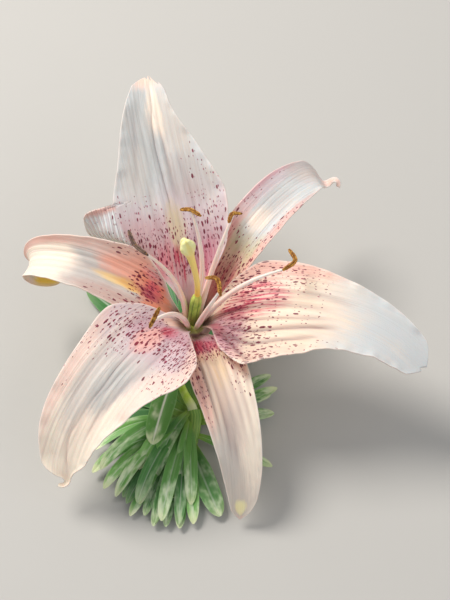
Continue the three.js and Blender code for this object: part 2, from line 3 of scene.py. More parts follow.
import bpy
import numpy as np
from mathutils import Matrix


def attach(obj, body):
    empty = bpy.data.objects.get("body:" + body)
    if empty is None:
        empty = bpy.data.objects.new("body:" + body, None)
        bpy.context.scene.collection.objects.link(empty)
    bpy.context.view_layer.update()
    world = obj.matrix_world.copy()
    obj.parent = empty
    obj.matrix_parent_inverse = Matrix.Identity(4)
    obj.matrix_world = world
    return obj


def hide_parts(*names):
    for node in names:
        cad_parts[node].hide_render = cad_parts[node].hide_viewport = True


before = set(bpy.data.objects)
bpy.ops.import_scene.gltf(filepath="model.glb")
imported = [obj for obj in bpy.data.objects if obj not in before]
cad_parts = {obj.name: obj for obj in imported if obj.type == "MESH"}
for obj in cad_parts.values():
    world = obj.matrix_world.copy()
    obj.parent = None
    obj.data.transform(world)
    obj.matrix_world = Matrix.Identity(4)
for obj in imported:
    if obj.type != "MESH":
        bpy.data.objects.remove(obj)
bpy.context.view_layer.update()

# A cut lily that lies on a pale table, seen from above its stem. Lengths in this file are in millimetres
# and angles in degrees until a mesh is made. A track is a dictionary of values at places along a line.
millimetre = 0.001
bloomCentre = np.array([-11.6, -2.1, 22.0])  # middle of the receptacle, over the table
stemFoot = np.array([-11.6, -2.1, 0.0])  # the point of the table under it
outerClaw = {"radius": 6.2, "height": -1.9}
innerClaw = {"radius": 4.5, "height": -0.3}
straight = {0: 0, 1: 0}


# Curves and points

def cubic(t, start, leave, end, arrive):  # from one point to the next with the tangents leave and arrive
    return (
        start * (2 * t**3 - 3 * t**2 + 1) + leave * (t**3 - 2 * t**2 + t)
        + end * (3 * t**2 - 2 * t**3) + arrive * (t**3 - t**2)
    )


def trackAt(track, places):  # a smooth curve through the values of a track, which never overshoots them
    x = np.array(list(track), float)
    y = np.array(list(track.values()), float)
    step = np.diff(x)
    slope = np.diff(y) / step
    tangent = np.concatenate([slope[:1], np.zeros(len(slope) - 1), slope[-1:]])
    for k in range(1, len(slope)):
        before, after = slope[k - 1], slope[k]
        if before * after > 0:
            weights = 2 * step[k] + step[k - 1], step[k] + 2 * step[k - 1]
            tangent[k] = sum(weights) / (weights[0] / before + weights[1] / after)
    places = np.clip(np.asarray(places, float), x[0], x[-1])
    i = np.clip(np.searchsorted(x, places, side="right") - 1, 0, len(x) - 2)
    return cubic((places - x[i]) / step[i], y[i], step[i] * tangent[i], y[i + 1], step[i] * tangent[i + 1])


def softStep(value, low, high):
    t = np.clip((value - low) / (high - low), 0, 1)
    return t * t * (3 - 2 * t)


def direction(heading, rise):
    heading, rise = np.broadcast_arrays(np.radians(heading), np.radians(rise))
    flat = np.cos(rise)
    return np.stack([flat * np.cos(heading), flat * np.sin(heading), np.sin(rise)], axis=-1)


def unit(vectors):
    return vectors / np.maximum(np.linalg.norm(vectors, axis=-1, keepdims=True), 1e-9)


def walk(start, length, directionAt, steps=600):  # points reached by small straight steps
    moves = directionAt((np.arange(steps) + 0.5) / steps) * (length / steps)
    return np.vstack([start, start + np.cumsum(moves, axis=0)])


def pointsAt(line, places, reach=None):
    reach = np.linspace(0, 1, len(line)) if reach is None else reach
    return np.stack([np.interp(places, reach, line[:, k]) for k in range(3)], axis=-1)


def roundedLine(corners, count, steps=60):  # an even walk along the smooth curve through the corners
    p = np.array(corners, float)
    p = np.vstack([2 * p[0] - p[1], p, 2 * p[-1] - p[-2]])
    leg = np.diff(p, axis=0)
    gap = np.sqrt(np.linalg.norm(leg, axis=1, keepdims=True))
    tangent = leg[:-1] / gap[:-1] - (p[2:] - p[:-2]) / (gap[:-1] + gap[1:]) + leg[1:] / gap[1:]
    t = np.linspace(0, 1, steps, endpoint=False)[:, None]
    spans = range(1, len(p) - 2)
    dense = [cubic(t, p[k], tangent[k - 1] * gap[k], p[k + 1], tangent[k] * gap[k]) for k in spans]
    dense = np.vstack(dense + [p[-2][None]])
    reach = np.concatenate([[0], np.cumsum(np.linalg.norm(np.diff(dense, axis=0), axis=1))])
    return pointsAt(dense, np.linspace(0, reach[-1], count), reach)


def seededDraws(seed):  # the same even draws between 0 and 1 in every run
    limit = 0xFFFFFFFF
    state = seed
    while True:
        state = (state + 0x6D2B79F5) & limit
        mixed = ((state ^ (state >> 15)) * (1 | state)) & limit
        mixed = (mixed + (((mixed ^ (mixed >> 7)) * (61 | mixed)) & limit)) & limit ^ mixed
        yield ((mixed ^ (mixed >> 14)) & limit) / (limit + 1)


# Node trees: a Wire is a socket that arithmetic can be written with

def operator(operation, swapped=False):
    def act(self, *others):
        values = (self, *others)
        return self.sheet.maths(operation, *(values[::-1] if swapped else values))
    return act


class Wire:
    def __init__(self, sheet, socket):
        self.sheet = sheet
        self.socket = socket

    def other(self, name):  # another output of the same node
        return Wire(self.sheet, self.socket.node.outputs[name])

    def fade(self, low, high):  # 0 under low, 1 over high, smooth between them
        smooth = {"interpolation_type": "SMOOTHSTEP"}
        return self.sheet.add("ShaderNodeMapRange", smooth, {0: self, 1: low, 2: high})

    __add__ = __radd__ = operator("ADD")
    __mul__ = __rmul__ = operator("MULTIPLY")
    __sub__ = operator("SUBTRACT")
    __rsub__ = operator("SUBTRACT", swapped=True)
    __truediv__ = operator("DIVIDE")
    __lt__ = operator("LESS_THAN")
    __abs__ = operator("ABSOLUTE")


class Sheet:
    def __init__(self, tree):
        self.tree = tree

    def add(self, kind, settings=None, sockets=None, out=0):
        node = self.tree.nodes.new(kind)
        for name, value in (settings or {}).items():
            setattr(node, name, value)
        for key, value in (sockets or {}).items():
            if isinstance(value, Wire):
                self.tree.links.new(value.socket, node.inputs[key])
            else:
                node.inputs[key].default_value = value
        return Wire(self, node.outputs[out]) if len(node.outputs) else None

    def maths(self, operation, *values):
        return self.add("ShaderNodeMath", {"operation": operation}, dict(enumerate(values)))

    def place(self, x, y, z=0.0):
        return self.add("ShaderNodeCombineXYZ", sockets={0: x, 1: y, 2: z})


def tint(code):  # a colour as a screen shows it, turned to the linear one that Blender takes
    parts = [int(code[k:k + 2], 16) / 255 for k in (1, 3, 5)]
    return tuple(c / 12.92 if c <= 0.04045 else ((c + 0.055) / 1.055) ** 2.4 for c in parts) + (1.0,)


class Paint(Sheet):  # a material, painted in layers with named inks
    def __init__(self, name, inks):
        self.inks = inks
        self.material = bpy.data.materials.new(name)
        self.material.use_nodes = True
        self.material.node_tree.nodes.clear()
        super().__init__(self.material.node_tree)

    def mark(self, name, out="Fac"):  # a value that the mesh carries
        return self.add("ShaderNodeAttribute", {"attribute_name": name}, out=out)

    def spot(self):
        return self.add("ShaderNodeTexCoord", out="Object")

    def cloudy(self, vector, scale=1.0, detail=2.0):
        return self.add("ShaderNodeTexNoise", sockets={"Vector": vector, "Scale": scale, "Detail": detail})

    def mix(self, mask, under, over):
        under, over = (tint(self.inks[ink]) if isinstance(ink, str) else ink for ink in (under, over))
        return self.add("ShaderNodeMix", {"data_type": "RGBA"}, {0: mask, 6: under, 7: over}, out=2)

    def cover(self, mask, over):
        self.colour = self.mix(mask, self.colour, over)

    def close(self, roughness, height, finish):  # the shader that every living surface ends in
        relief = {"Strength": 1.0, "Distance": finish["relief"] * millimetre, "Height": height}
        shader = self.add("ShaderNodeBsdfPrincipled", sockets={
            "Base Color": self.colour,
            "Roughness": roughness,
            "Normal": self.add("ShaderNodeBump", sockets=relief),
            "Subsurface Weight": finish["glow"],
            "Subsurface Radius": finish["glowTint"],
            "Subsurface Scale": finish["glowReach"] * millimetre,
            "Specular IOR Level": finish["gloss"],
        })
        self.add("ShaderNodeOutputMaterial", sockets={"Surface": shader})
        return self.material


# Meshes

def newObject(name, data):
    thing = bpy.data.objects.new(name, data)
    bpy.context.scene.collection.objects.link(thing)
    return thing


def meshPiece(name, points, edges, faces, marks, material=None):  # marks are values that its points carry
    mesh = bpy.data.meshes.new(name)
    mesh.from_pydata((points * millimetre).tolist(), edges, faces)
    for mark, values in marks.items():
        values = np.asarray(values, np.float32)
        kind, field = ("FLOAT", "value") if values.ndim == 1 else ("FLOAT_VECTOR", "vector")
        mesh.attributes.new(mark, kind, "POINT").data.foreach_set(field, values.ravel())
    if material:
        mesh.materials.append(material)
    mesh.shade_smooth()
    return newObject(name, mesh)


def keep(piece, slotName, *nodes):
    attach(piece, "root")
    if nodes:
        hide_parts(*nodes)


def ringsPiece(name, rings, marks, material):  # the skin over a stack of closed rings, capped at both ends
    count, sides, _ = rings.shape
    faces = []
    for i in range(count - 1):
        for j in range(sides):
            a, b = i * sides + j, i * sides + (j + 1) % sides
            faces.append((a + sides, b + sides, b, a))
    faces.append(tuple(range(sides)))
    faces.append(tuple(reversed(range((count - 1) * sides, count * sides))))
    return meshPiece(name, rings.reshape(-1, 3), [], faces, marks, material)


def rodPiece(name, line, radiusAt, sides, material, capTurn=22, capDepth=0.8, capLeast=0.05):
    s = np.linspace(0, 1, len(line))
    tangent = unit(np.gradient(line, axis=0))
    side = np.zeros_like(line)
    start = np.cross(tangent[0], [0.0, 0.0, 1.0])
    side[0] = unit(start if np.linalg.norm(start) > 0.1 else np.array([1.0, 0.0, 0.0]))
    for k in range(1, len(line)):
        side[k] = unit(side[k - 1] - tangent[k] * np.dot(side[k - 1], tangent[k]))
    up = np.cross(side, tangent)
    turn = np.arange(sides) * 2 * math.pi / sides
    cap = [math.radians(capTurn * step) for step in range(5)]
    stations = [(0, -math.cos(a), max(math.sin(a), capLeast)) for a in cap[:4]]
    stations += [(k, 0.0, 1.0) for k in range(len(line))]
    stations += [(len(line) - 1, math.sin(a), max(math.cos(a), capLeast)) for a in cap[1:]]
    rings = []
    for k, lean, shrink in stations:
        radius = radiusAt(s[k], turn)
        middle = line[k] + tangent[k] * (lean * capDepth * float(np.mean(radius)))
        sideways = np.outer(radius * shrink * np.cos(turn), side[k])
        rings.append(middle + sideways + np.outer(radius * shrink * np.sin(turn), up[k]))
    marks = {"along": np.repeat([s[k] for k, _, _ in stations], sides), "turn": np.tile(turn, len(stations))}
    return ringsPiece(name, np.array(rings), marks, material)


# Geometry Nodes: trees are made once and fed through named inputs

def newTree(name, inputs):
    tree = bpy.data.node_groups.new(name, "GeometryNodeTree")
    for label, kind in {"Geometry": "Geometry", **inputs}.items():
        tree.interface.new_socket(label, in_out="INPUT", socket_type=f"NodeSocket{kind}")
    tree.interface.new_socket("Geometry", in_out="OUTPUT", socket_type="NodeSocketGeometry")
    sheet = Sheet(tree)
    return tree, sheet, sheet.add("NodeGroupInput")


def closeTree(sheet, geometry, material):
    real = sheet.add("GeometryNodeRealizeInstances", sockets={0: geometry})
    dressed = sheet.add("GeometryNodeSetMaterial", sockets={"Geometry": real, "Material": material})
    sheet.add("NodeGroupOutput", sockets={0: dressed})


def grow(name, carrier, tree, values):  # runs a tree on a carrier and leaves a plain mesh
    modifier = carrier.modifiers.new("grow", "NODES")
    modifier.node_group = tree
    for item in tree.interface.items_tree:
        if item.in_out == "INPUT" and item.name in values:
            modifier[item.identifier] = values[item.name]
    graph = bpy.context.evaluated_depsgraph_get()
    evaluated = carrier.evaluated_get(graph)
    mesh = bpy.data.meshes.new_from_object(evaluated, preserve_all_data_layers=True, depsgraph=graph)
    mesh.name = name
    mesh.shade_smooth()
    piece = newObject(name, mesh)
    carrier.modifiers.clear()
    return piece


def sweep(name, lines, marks, tree, values):  # runs a swept tree on lines that carry marks
    edges, first = [], 0
    for line in lines:
        edges += [(k, k + 1) for k in range(first, first + len(line) - 1)]
        first += len(line)
    marks = {mark: np.concatenate(parts) for mark, parts in marks.items()}
    carrier = meshPiece("carrier", np.vstack(lines), edges, [], marks)
    piece = grow(name, carrier, tree, values)
    mesh = carrier.data
    bpy.data.objects.remove(carrier)
    bpy.data.meshes.remove(mesh)
    return piece


def sweptTree(name, inputs, shapeProfile=None):
    tree, sheet, given = newTree(name, inputs)

    def store(geometry, mark, value):
        sockets = {0: geometry, "Name": mark, "Value": value}
        return sheet.add("GeometryNodeStoreNamedAttribute", {"data_type": "FLOAT"}, sockets)

    curve = sheet.add("GeometryNodeMeshToCurve", sockets={"Mesh": given})
    curve = sheet.add("GeometryNodeSetCurveNormal", {"mode": "Z_UP"}, {0: curve})
    curve = store(curve, "along", sheet.add("GeometryNodeSplineParameter"))
    circle = {"Resolution": given.other("Sides"), "Radius": 1.0}
    profile = sheet.add("GeometryNodeCurvePrimitiveCircle", sockets=circle)
    x = sheet.add("ShaderNodeSeparateXYZ", sockets={0: sheet.add("GeometryNodeInputPosition")})
    y = x.other("Y")
    profile = store(profile, "across", x)
    profile = store(profile, "upper", y * -1.0)
    if shapeProfile:
        profile = shapeProfile(sheet, given, profile, x, y)
    width = sheet.add("GeometryNodeInputNamedAttribute", {"data_type": "FLOAT"}, {"Name": "halfWidth"})
    sockets = {"Curve": curve, "Profile Curve": profile, "Scale": width, "Fill Caps": True}
    closeTree(sheet, sheet.add("GeometryNodeCurveToMesh", sockets=sockets), given.other("Material"))
    return tree


print("lily: tools ready")


# Tepals, the six petal-like leaves of the bloom. Along runs from the claw (0) to the tip (1), across from
# the right margin (-1) to the left one (1), as one looks from the middle of the bloom to the tip.

tepalGrain = {
    "rows": 190,
    "columns": 116,
    "rowShift": 0.012,
    "midribThickness": 1.1,
    "marginThickness": 0.5,
    "rimReach": 0.6,  # of half the thickness
    "ribs": (2.3, 0.07, 0.05, 0.95),
    "lobeRibSpacing": 1.9,
    "lobeEdge": (-1.2, 0.4),
    "foldSteps": 30,
    "lobeFrom": 0.5,
    "creaseFrom": 0.62,
    "creaseLast": 0.9,
    "creaseWidth": 0.1,
    "waves": {3.1: 1, 1.7: 0.7, 0.9: 0.4},  # the height of each length of wave along a margin
    "waveHeight": 0.6,
    "waveSpan": (0.2, 1, 0.15, 0.12),  # start, end, and how softly it starts and ends
    "waveFrom": 0.5,
    "foldEnds": (0.1, 0.12),
    "ribEnds": (0.15, 0.2),
    "tornFrom": 0.6,
    "seed": 11,
}

# Ribs are their spacing, depth, start and end. A fold is the track of its line, its depth and width, and
# where it starts and ends.
tepals = {
    "tepal_upper_right": {
        "claw": outerClaw, "heading": 48.5, "length": 91, "ruffle": 0.3, "ribs": (2.6, 0.05, 0.05, 0.75),
        "rise": {
            0: 58, 0.15: 44, 0.37: 24, 0.62: 2, 0.76: -16, 0.85: -60, 0.895: -52, 0.92: 10, 0.94: 45,
            0.965: 10, 0.98: -40, 1: -60,
        },
        "swing": {0: 4, 0.3: 2, 0.62: -4, 0.825: -14, 0.91: -20, 0.94: -30, 0.96: -65, 0.98: -105, 1: -170},
        "roll": {0: 0, 0.4: 4, 1: 8},
        "widthLeft": {
            0: 2.4, 0.1: 4.6, 0.2: 8, 0.39: 10.5, 0.58: 11, 0.78: 9, 0.86: 5, 0.9: 2.4, 0.93: 1.3, 1: 0.8,
        },
        "widthRight": {
            0: 2.4, 0.1: 4.6, 0.2: 7.6, 0.39: 8.5, 0.58: 7.8, 0.78: 5.6, 0.86: 2.6, 0.9: 1.6, 0.93: 1.3,
            1: 0.8,
        },
        "cupLeft": {0: 60, 0.3: 40, 0.6: 30, 1: 20},
        "cupRight": {0: 60, 0.3: 30, 0.6: 10, 1: 20},
        "folds": [
            ({0: 0, 1: 0}, 0.22, 1.1, 0.08, 0.7),
            ({0: 0.3, 1: 0.35}, 0.12, 1.2, 0.15, 0.7),
            ({0: -0.35, 1: -0.4}, 0.12, 1.2, 0.15, 0.7),
        ],
    },
    "tepal_bottom": {
        "claw": outerClaw, "heading": -73, "length": 87.4, "ruffle": 0.2, "ribs": (2.9, 0.26, 0.16, 0.72),
        "rise": {0: 55, 0.15: 36, 0.3: 12, 0.5: -20, 0.75: -46, 1: -58},
        "swing": {0: 0, 0.5: 0, 1: -22},
        "widthLeft": {0: 2.4, 0.1: 4.8, 0.2: 9.5, 0.33: 12, 0.5: 11, 0.7: 9, 0.88: 6.5, 0.95: 4, 1: 0.4},
        "widthRight": {
            0: 2.4, 0.1: 4.8, 0.2: 9.3, 0.33: 10, 0.5: 8.9, 0.7: 7.2, 0.88: 4.9, 0.95: 3.6, 1: 0.4,
        },
        "cupLeft": {0: 60, 0.3: 20, 0.6: 15, 1: 40},
        "cupRight": {0: 60, 0.3: 20, 0.6: 15, 1: 40},
        "folds": [
            ({0: 0, 1: 0}, 0.5, 1.0, 0.1, 0.78),
            ({0: 0.22, 1: 0.3}, 0.35, 0.9, 0.18, 0.72),
            ({0: -0.2, 1: -0.3}, 0.4, 0.9, 0.18, 0.76),
            ({0: -0.42, 1: -0.55}, 0.35, 0.9, 0.2, 0.6),
            ({0: 0.45, 1: 0.6}, 0.25, 0.9, 0.2, 0.6),
        ],
    },
    "tepal_left": {
        "claw": outerClaw, "heading": 163, "length": 87.4, "ruffle": 0.3,
        "rise": {0: 60, 0.15: 45, 0.36: 22, 0.57: 0, 0.71: -20, 0.79: -75, 0.88: -150, 0.94: -190, 1: -225},
        "swing": {0: 0, 0.4: 0, 0.8: 8, 1: 10},
        "roll": {0: 0, 0.4: -6, 1: 0},
        "widthLeft": {
            0: 2.4, 0.1: 4.8, 0.2: 9.5, 0.34: 12, 0.52: 11, 0.73: 9, 0.82: 6, 0.9: 4.8, 0.96: 3.6, 1: 1.6,
        },
        "widthRight": {
            0: 2.4, 0.1: 4.4, 0.2: 9.4, 0.34: 13.8, 0.52: 11.4, 0.68: 9.5, 0.82: 6, 0.9: 4.8, 0.96: 3.6,
            1: 1.6,
        },
        "cupLeft": {0: 60, 0.3: 30, 0.6: 30, 1: 40},
        "cupRight": {0: 60, 0.15: 60, 0.3: 60, 0.6: 72, 1: 60},
        "folds": [
            ({0: 0, 1: 0}, 0.45, 1.3, 0.05, 0.6),
            ({0: 0.3, 1: 0.3}, 0.15, 1.1, 0.3, 0.85),
            ({0: -0.3, 1: -0.3}, 0.15, 1.1, 0.3, 0.85),
        ],
    },
    "tepal_top": {
        "claw": innerClaw, "heading": 99, "length": 95.4, "columns": 168, "ruffle": 0.4, "lobeStep": 0.6,
        "rise": {0: 66, 0.2: 48, 0.5: 28, 0.8: 20, 1: 8},
        "swing": {0: 0, 0.35: 5, 0.7: 5, 1: -4},
        "widthLeft": {
            0: 2, 0.1: 5.2, 0.2: 10.6, 0.27: 15.5, 0.31: 22, 0.345: 31, 0.38: 37, 0.42: 38, 0.45: 36.6,
            0.474: 35.2, 0.486: 33.9, 0.494: 32.2, 0.5: 29.5, 0.504: 24.5, 0.508: 22.2, 0.53: 21.6,
            0.65: 17.6, 0.85: 11.5, 0.93: 8, 0.97: 6, 1: 2.5,
        },
        "widthRight": {0: 2, 0.1: 6, 0.2: 12.5, 0.3: 18, 0.45: 20.5, 0.65: 14.8, 0.85: 7.2, 0.95: 5, 1: 1},
        "bodyLeft": {
            0: 2, 0.1: 5.2, 0.2: 10.6, 0.27: 14.5, 0.31: 17.5, 0.38: 20.5, 0.45: 22, 0.53: 21.6, 0.65: 17.6,
            0.85: 11.5, 0.93: 8, 0.97: 6, 1: 2.5,
        },
        "cupLeft": {0: 70, 0.1: 30, 0.2: -15, 0.3: -25, 0.5: 0, 1: 25},
        "cupRight": {0: 70, 0.3: 30, 0.6: 15, 1: 30},
        "lobeTurn": {0: 0, 0.22: 0, 0.31: -50, 0.42: -42, 0.475: -24, 0.505: -8, 0.53: 0, 1: 0},
        "tornTip": {
            -1: 0.93, -0.9: 0.965, -0.78: 0.955, -0.55: 0.985, -0.42: 1.0, -0.3: 0.975, -0.1: 0.985,
            0.05: 1.0, 0.15: 0.985, 0.45: 0.992, 0.7: 0.985, 1: 0.955,
        },
        "folds": [
            ({0: 0, 0.45: 0.05, 0.6: 0.09, 0.7: 0.12, 0.79: 0.09, 0.88: 0, 1: 0}, 0.6, 0.55, 0.42, 0.99),
            ({0: -0.1, 1: -0.12}, 0.4, 1.0, 0.42, 0.8),
            ({0: 0.18, 0.6: 0.18, 0.7: 0.25, 1: 0.25}, -0.4, 1.3, 0.4, 0.95),
            ({0: 0, 0.8: 0, 0.9: -0.15, 1: -0.2}, -0.35, 1.2, 0.5, 0.97),
            ({0: 0.3, 1: 0.4}, 0.3, 1.2, 0.12, 0.6),
            ({0: -0.35, 1: -0.4}, 0.3, 1.3, 0.12, 0.7),
            ({0: 0.55, 1: 0.6}, 0.25, 1.3, 0.5, 0.9),
        ],
    },
    "tepal_lower_left": {
        "claw": innerClaw, "heading": -126, "length": 95, "ruffle": 0.45,
        "rise": {0: 58, 0.15: 40, 0.35: 12, 0.6: -25, 0.85: -52, 0.93: -52, 0.955: -40, 0.975: -15, 1: 15},
        "swing": {0: -14, 0.35: -1, 0.65: 0, 0.86: 9, 0.92: 29, 0.95: 32, 0.972: -20, 1: -75},
        "widthLeft": {
            0: 2, 0.1: 7, 0.2: 15.5, 0.25: 20.3, 0.3: 23.7, 0.35: 24.8, 0.4: 23.3, 0.5: 17.6, 0.6: 13.9,
            0.7: 10.8, 0.87: 6.3, 0.925: 2.4, 0.95: 1.2, 1: 0.7,
        },
        "widthRight": {
            0: 2, 0.1: 7, 0.2: 15, 0.3: 20, 0.45: 18, 0.7: 16, 0.87: 11, 0.925: 5, 0.95: 1.5, 1: 0.7,
        },
        "cupLeft": {0: 70, 0.3: 30, 0.6: 20, 0.93: 50, 1: 20},
        "cupRight": {0: 70, 0.3: 30, 0.6: 20, 0.93: 50, 1: 20},
        "folds": [
            (
                {
                    0: 0, 0.45: -0.07, 0.53: -0.04, 0.6: -0.1, 0.7: -0.13, 0.77: -0.18, 0.84: -0.15,
                    0.92: 0, 1: 0,
                },
                0.36, 0.7, 0.3, 0.98,
            ),
            ({0: 0.1, 0.5: 0.07, 0.6: 0, 0.7: -0.02, 0.84: -0.02, 1: 0}, 0.25, 0.7, 0.3, 0.85),
            ({0: -0.15, 0.6: -0.24, 0.8: -0.32, 1: -0.3}, -0.3, 1.6, 0.4, 0.97),
            ({0: 0.3, 1: 0.35}, 0.4, 1.4, 0.15, 0.8),
            ({0: -0.5, 1: -0.5}, 0.3, 1.5, 0.15, 0.7),
        ],
    },
    "tepal_right": {
        "claw": innerClaw, "heading": -12, "length": 97.4, "ruffle": 0.5, "ribs": (2.3, 0.06, 0.05, 0.7),
        "rise": {0: 58, 0.15: 42, 0.35: 22, 0.6: 0, 0.85: -22, 1: -30},
        "swing": {0: 6, 0.4: 0, 0.7: -8, 1: -28},
        "widthLeft": {0: 2, 0.1: 6, 0.2: 13, 0.32: 18, 0.45: 17, 0.65: 13, 0.85: 9, 0.95: 6.5, 1: 3},
        "widthRight": {0: 2, 0.1: 8, 0.2: 21, 0.3: 27, 0.42: 24, 0.65: 15.5, 0.85: 12, 0.95: 9.5, 1: 5},
        "cupLeft": {0: 70, 0.3: 30, 0.6: 15, 1: 30},
        "cupRight": {0: 70, 0.3: 20, 0.6: 15, 1: 30},
        "tornTip": {
            -1: 0.95, -0.85: 0.975, -0.6: 0.995, -0.4: 0.985, 0: 1.0, 0.5: 0.99, 0.8: 0.97, 1: 0.94,
        },
        "folds": [
            ({0: 0, 1: 0}, 0.5, 0.9, 0.08, 0.62),
            ({0: -0.2, 1: -0.25}, 0.6, 0.9, 0.12, 0.62),
            ({0: -0.4, 1: -0.42}, 0.95, 1.1, 0.12, 0.66),
            ({0: -0.5, 0.3: -0.62, 1: -0.7}, 0.8, 1.1, 0.12, 0.6),
            ({0: -0.55, 0.2: -0.72, 0.36: -1}, 0.8, 1.3, 0.1, 0.38),
            ({0: 0.3, 1: 0.35}, 0.35, 1.3, 0.12, 0.7),
        ],
    },
}


def tepalSurface(shape):  # middle surface of a tepal, and where on the tepal each of its points grew
    grain = tepalGrain
    s = np.linspace(0, 1, grain["rows"] + 1)
    s = s + grain["rowShift"] * np.sin(2 * math.pi * s) * s
    q, s = np.meshgrid(np.linspace(-1, 1, shape.get("columns", grain["columns"]) + 1), s)
    if "tornTip" in shape:
        s = s * (1 + (trackAt(shape["tornTip"], q) - 1) * softStep(s, grain["tornFrom"], 1))
    right = q < 0
    sided = lambda name: np.where(right, trackAt(shape[name + "Right"], s), trackAt(shape[name + "Left"], s))
    headingAt = lambda at: shape["heading"] + trackAt(shape["swing"], at)
    onward = lambda at: direction(headingAt(at), trackAt(shape["rise"], at))
    start = direction(shape["heading"], 0) * shape["claw"]["radius"]
    start[2] = shape["claw"]["height"]
    midrib = walk(start, shape["length"], onward)
    along = onward(s)
    level = direction(headingAt(s) + 90, 0)
    roll = np.radians(trackAt(shape.get("roll", straight), s))[..., None]
    across = level * np.cos(roll) + np.cross(along, level) * np.sin(roll)
    up = np.cross(along, across)
    width = sided("width")
    body = width
    if "bodyLeft" in shape:
        body = np.where(right, width, np.minimum(width, trackAt(shape["bodyLeft"], s)))
    apart = body * q + (width - body) * softStep(q, grain["lobeFrom"], 1)
    cup = sided("cup")
    lobe = np.where(right, 0, trackAt(shape.get("lobeTurn", straight), s))
    reach = np.abs(apart) / width
    out = np.zeros_like(q)
    high = np.zeros_like(q)
    creaseAt = np.maximum(grain["creaseFrom"], np.minimum(body / width, grain["creaseLast"]))
    steps = grain["foldSteps"]
    for k in range(steps):
        part = (k + 0.5) / steps * reach
        angle = np.radians(cup * part + lobe * softStep(part, creaseAt, creaseAt + grain["creaseWidth"]))
        out += width * np.cos(angle) * reach / steps
        high += width * np.sin(angle) * reach / steps
    points = pointsAt(midrib, s) + across * (np.where(right, -1, 1) * out)[..., None] + up * high[..., None]
    return points, s, q, apart, width, body


def between(s, start, end, startSoft, endSoft):
    return softStep(s, start, start + startSoft) * (1 - softStep(s, end - endSoft, end))


def tepalRelief(shape, s, q, apart, width, body, draws):  # ribs, folds and waves of the margins, in mm
    grain = tepalGrain
    relief = np.zeros_like(s)
    # groove gathers how deep the folds and the valleys between the ribs sink; the petal shader paints it as
    # shade
    groove = np.zeros_like(s)
    for line, depth, foldWidth, start, end in shape["folds"]:
        away = apart - trackAt(line, s) * body
        dip = depth * np.exp(-((away / foldWidth) ** 2)) * between(s, start, end, *grain["foldEnds"])
        relief -= dip
        groove += np.maximum(dip, 0)
    spacing, depth, start, end = shape.get("ribs", grain["ribs"])
    veins = np.cos(2 * math.pi * apart / spacing)
    ribbed = between(s, start, end, *grain["ribEnds"]) * (1 - q**4)
    relief += depth * veins * ribbed
    groove += depth * (1 - veins) * ribbed
    onLobe = softStep(apart - body, *grain["lobeEdge"]) * softStep(width - body, 0, 3)
    relief -= shape.get("lobeStep", 0) * onLobe
    phases = [2 * math.pi * next(draws) for _ in range(6)]
    for sign, phase in ((-1, phases[:3]), (1, phases[3:])):
        edge = softStep(sign * q, grain["waveFrom"], 1) ** 2 * between(s, *grain["waveSpan"])
        waves = zip(grain["waves"].items(), phase)
        wave = sum(height * np.sin(s * shape["length"] / size + begin) for (size, height), begin in waves)
        relief += shape["ruffle"] * edge * wave * grain["waveHeight"]
    return relief, np.minimum(groove, 1), onLobe


def gridNormals(points):
    return unit(np.cross(np.gradient(points, axis=0), np.gradient(points, axis=1)))


def tepalPiece(name, shape, material, draws):
    grain = tepalGrain
    points, s, q, apart, width, body = tepalSurface(shape)
    relief, groove, onLobe = tepalRelief(shape, s, q, apart, width, body, draws)
    points = points + gridNormals(points) * relief[..., None]
    thick = grain["midribThickness"] + (grain["marginThickness"] - grain["midribThickness"]) * np.abs(q)
    half = 0.5 * thick[..., None]
    offset = gridNormals(points) * half
    index = np.arange(q.size).reshape(q.shape)
    ring = np.concatenate([index[:-1, 0], index[-1, :-1], index[:0:-1, -1], index[0, :0:-1]])
    inward = np.roll(points, 1, axis=1)
    inward[:, 0] = points[:, 1]
    inward[0, 1:-1] = points[1, 1:-1]
    inward[-1, 1:-1] = points[-2, 1:-1]
    rim = (points + unit(points - inward) * (grain["rimReach"] * half)).reshape(-1, 3)[ring]
    quads = [index[:-1, :-1], index[1:, :-1], index[1:, 1:], index[:-1, 1:]]
    quads = np.stack(quads, axis=-1).reshape(-1, 4)
    onward = np.roll(ring, -1)
    rimIndex = 2 * q.size + np.arange(len(ring))
    rimOnward = np.roll(rimIndex, -1)
    below = np.stack([ring + q.size, onward + q.size, rimOnward, rimIndex], axis=-1)
    above = np.stack([rimIndex, rimOnward, onward, ring], axis=-1)
    faces = np.concatenate([quads, quads[:, ::-1] + q.size, below, above]).tolist()
    allPoints = np.concatenate([(points + offset).reshape(-1, 3), (points - offset).reshape(-1, 3), rim])
    marks = {"along": s, "across": q, "groove": groove, "lobe": onLobe}
    marks = {mark: values.ravel() for mark, values in marks.items()}
    marks["tissue"] = np.stack([s * shape["length"], apart, np.zeros_like(s)], axis=-1).reshape(-1, 3)
    for mark, values in marks.items():
        marks[mark] = np.concatenate([values, values * (mark != "groove"), values[ring]])
    marks["inner"] = np.repeat([1, 0, 0.5], [q.size, q.size, len(ring)])
    return meshPiece(name, allPoints + bloomCentre, [], faces, marks, material)


petalFinish = {"relief": 0.3, "glow": 0.25, "glowTint": (1.0, 0.66, 0.55), "glowReach": 1.3, "gloss": 0.35}

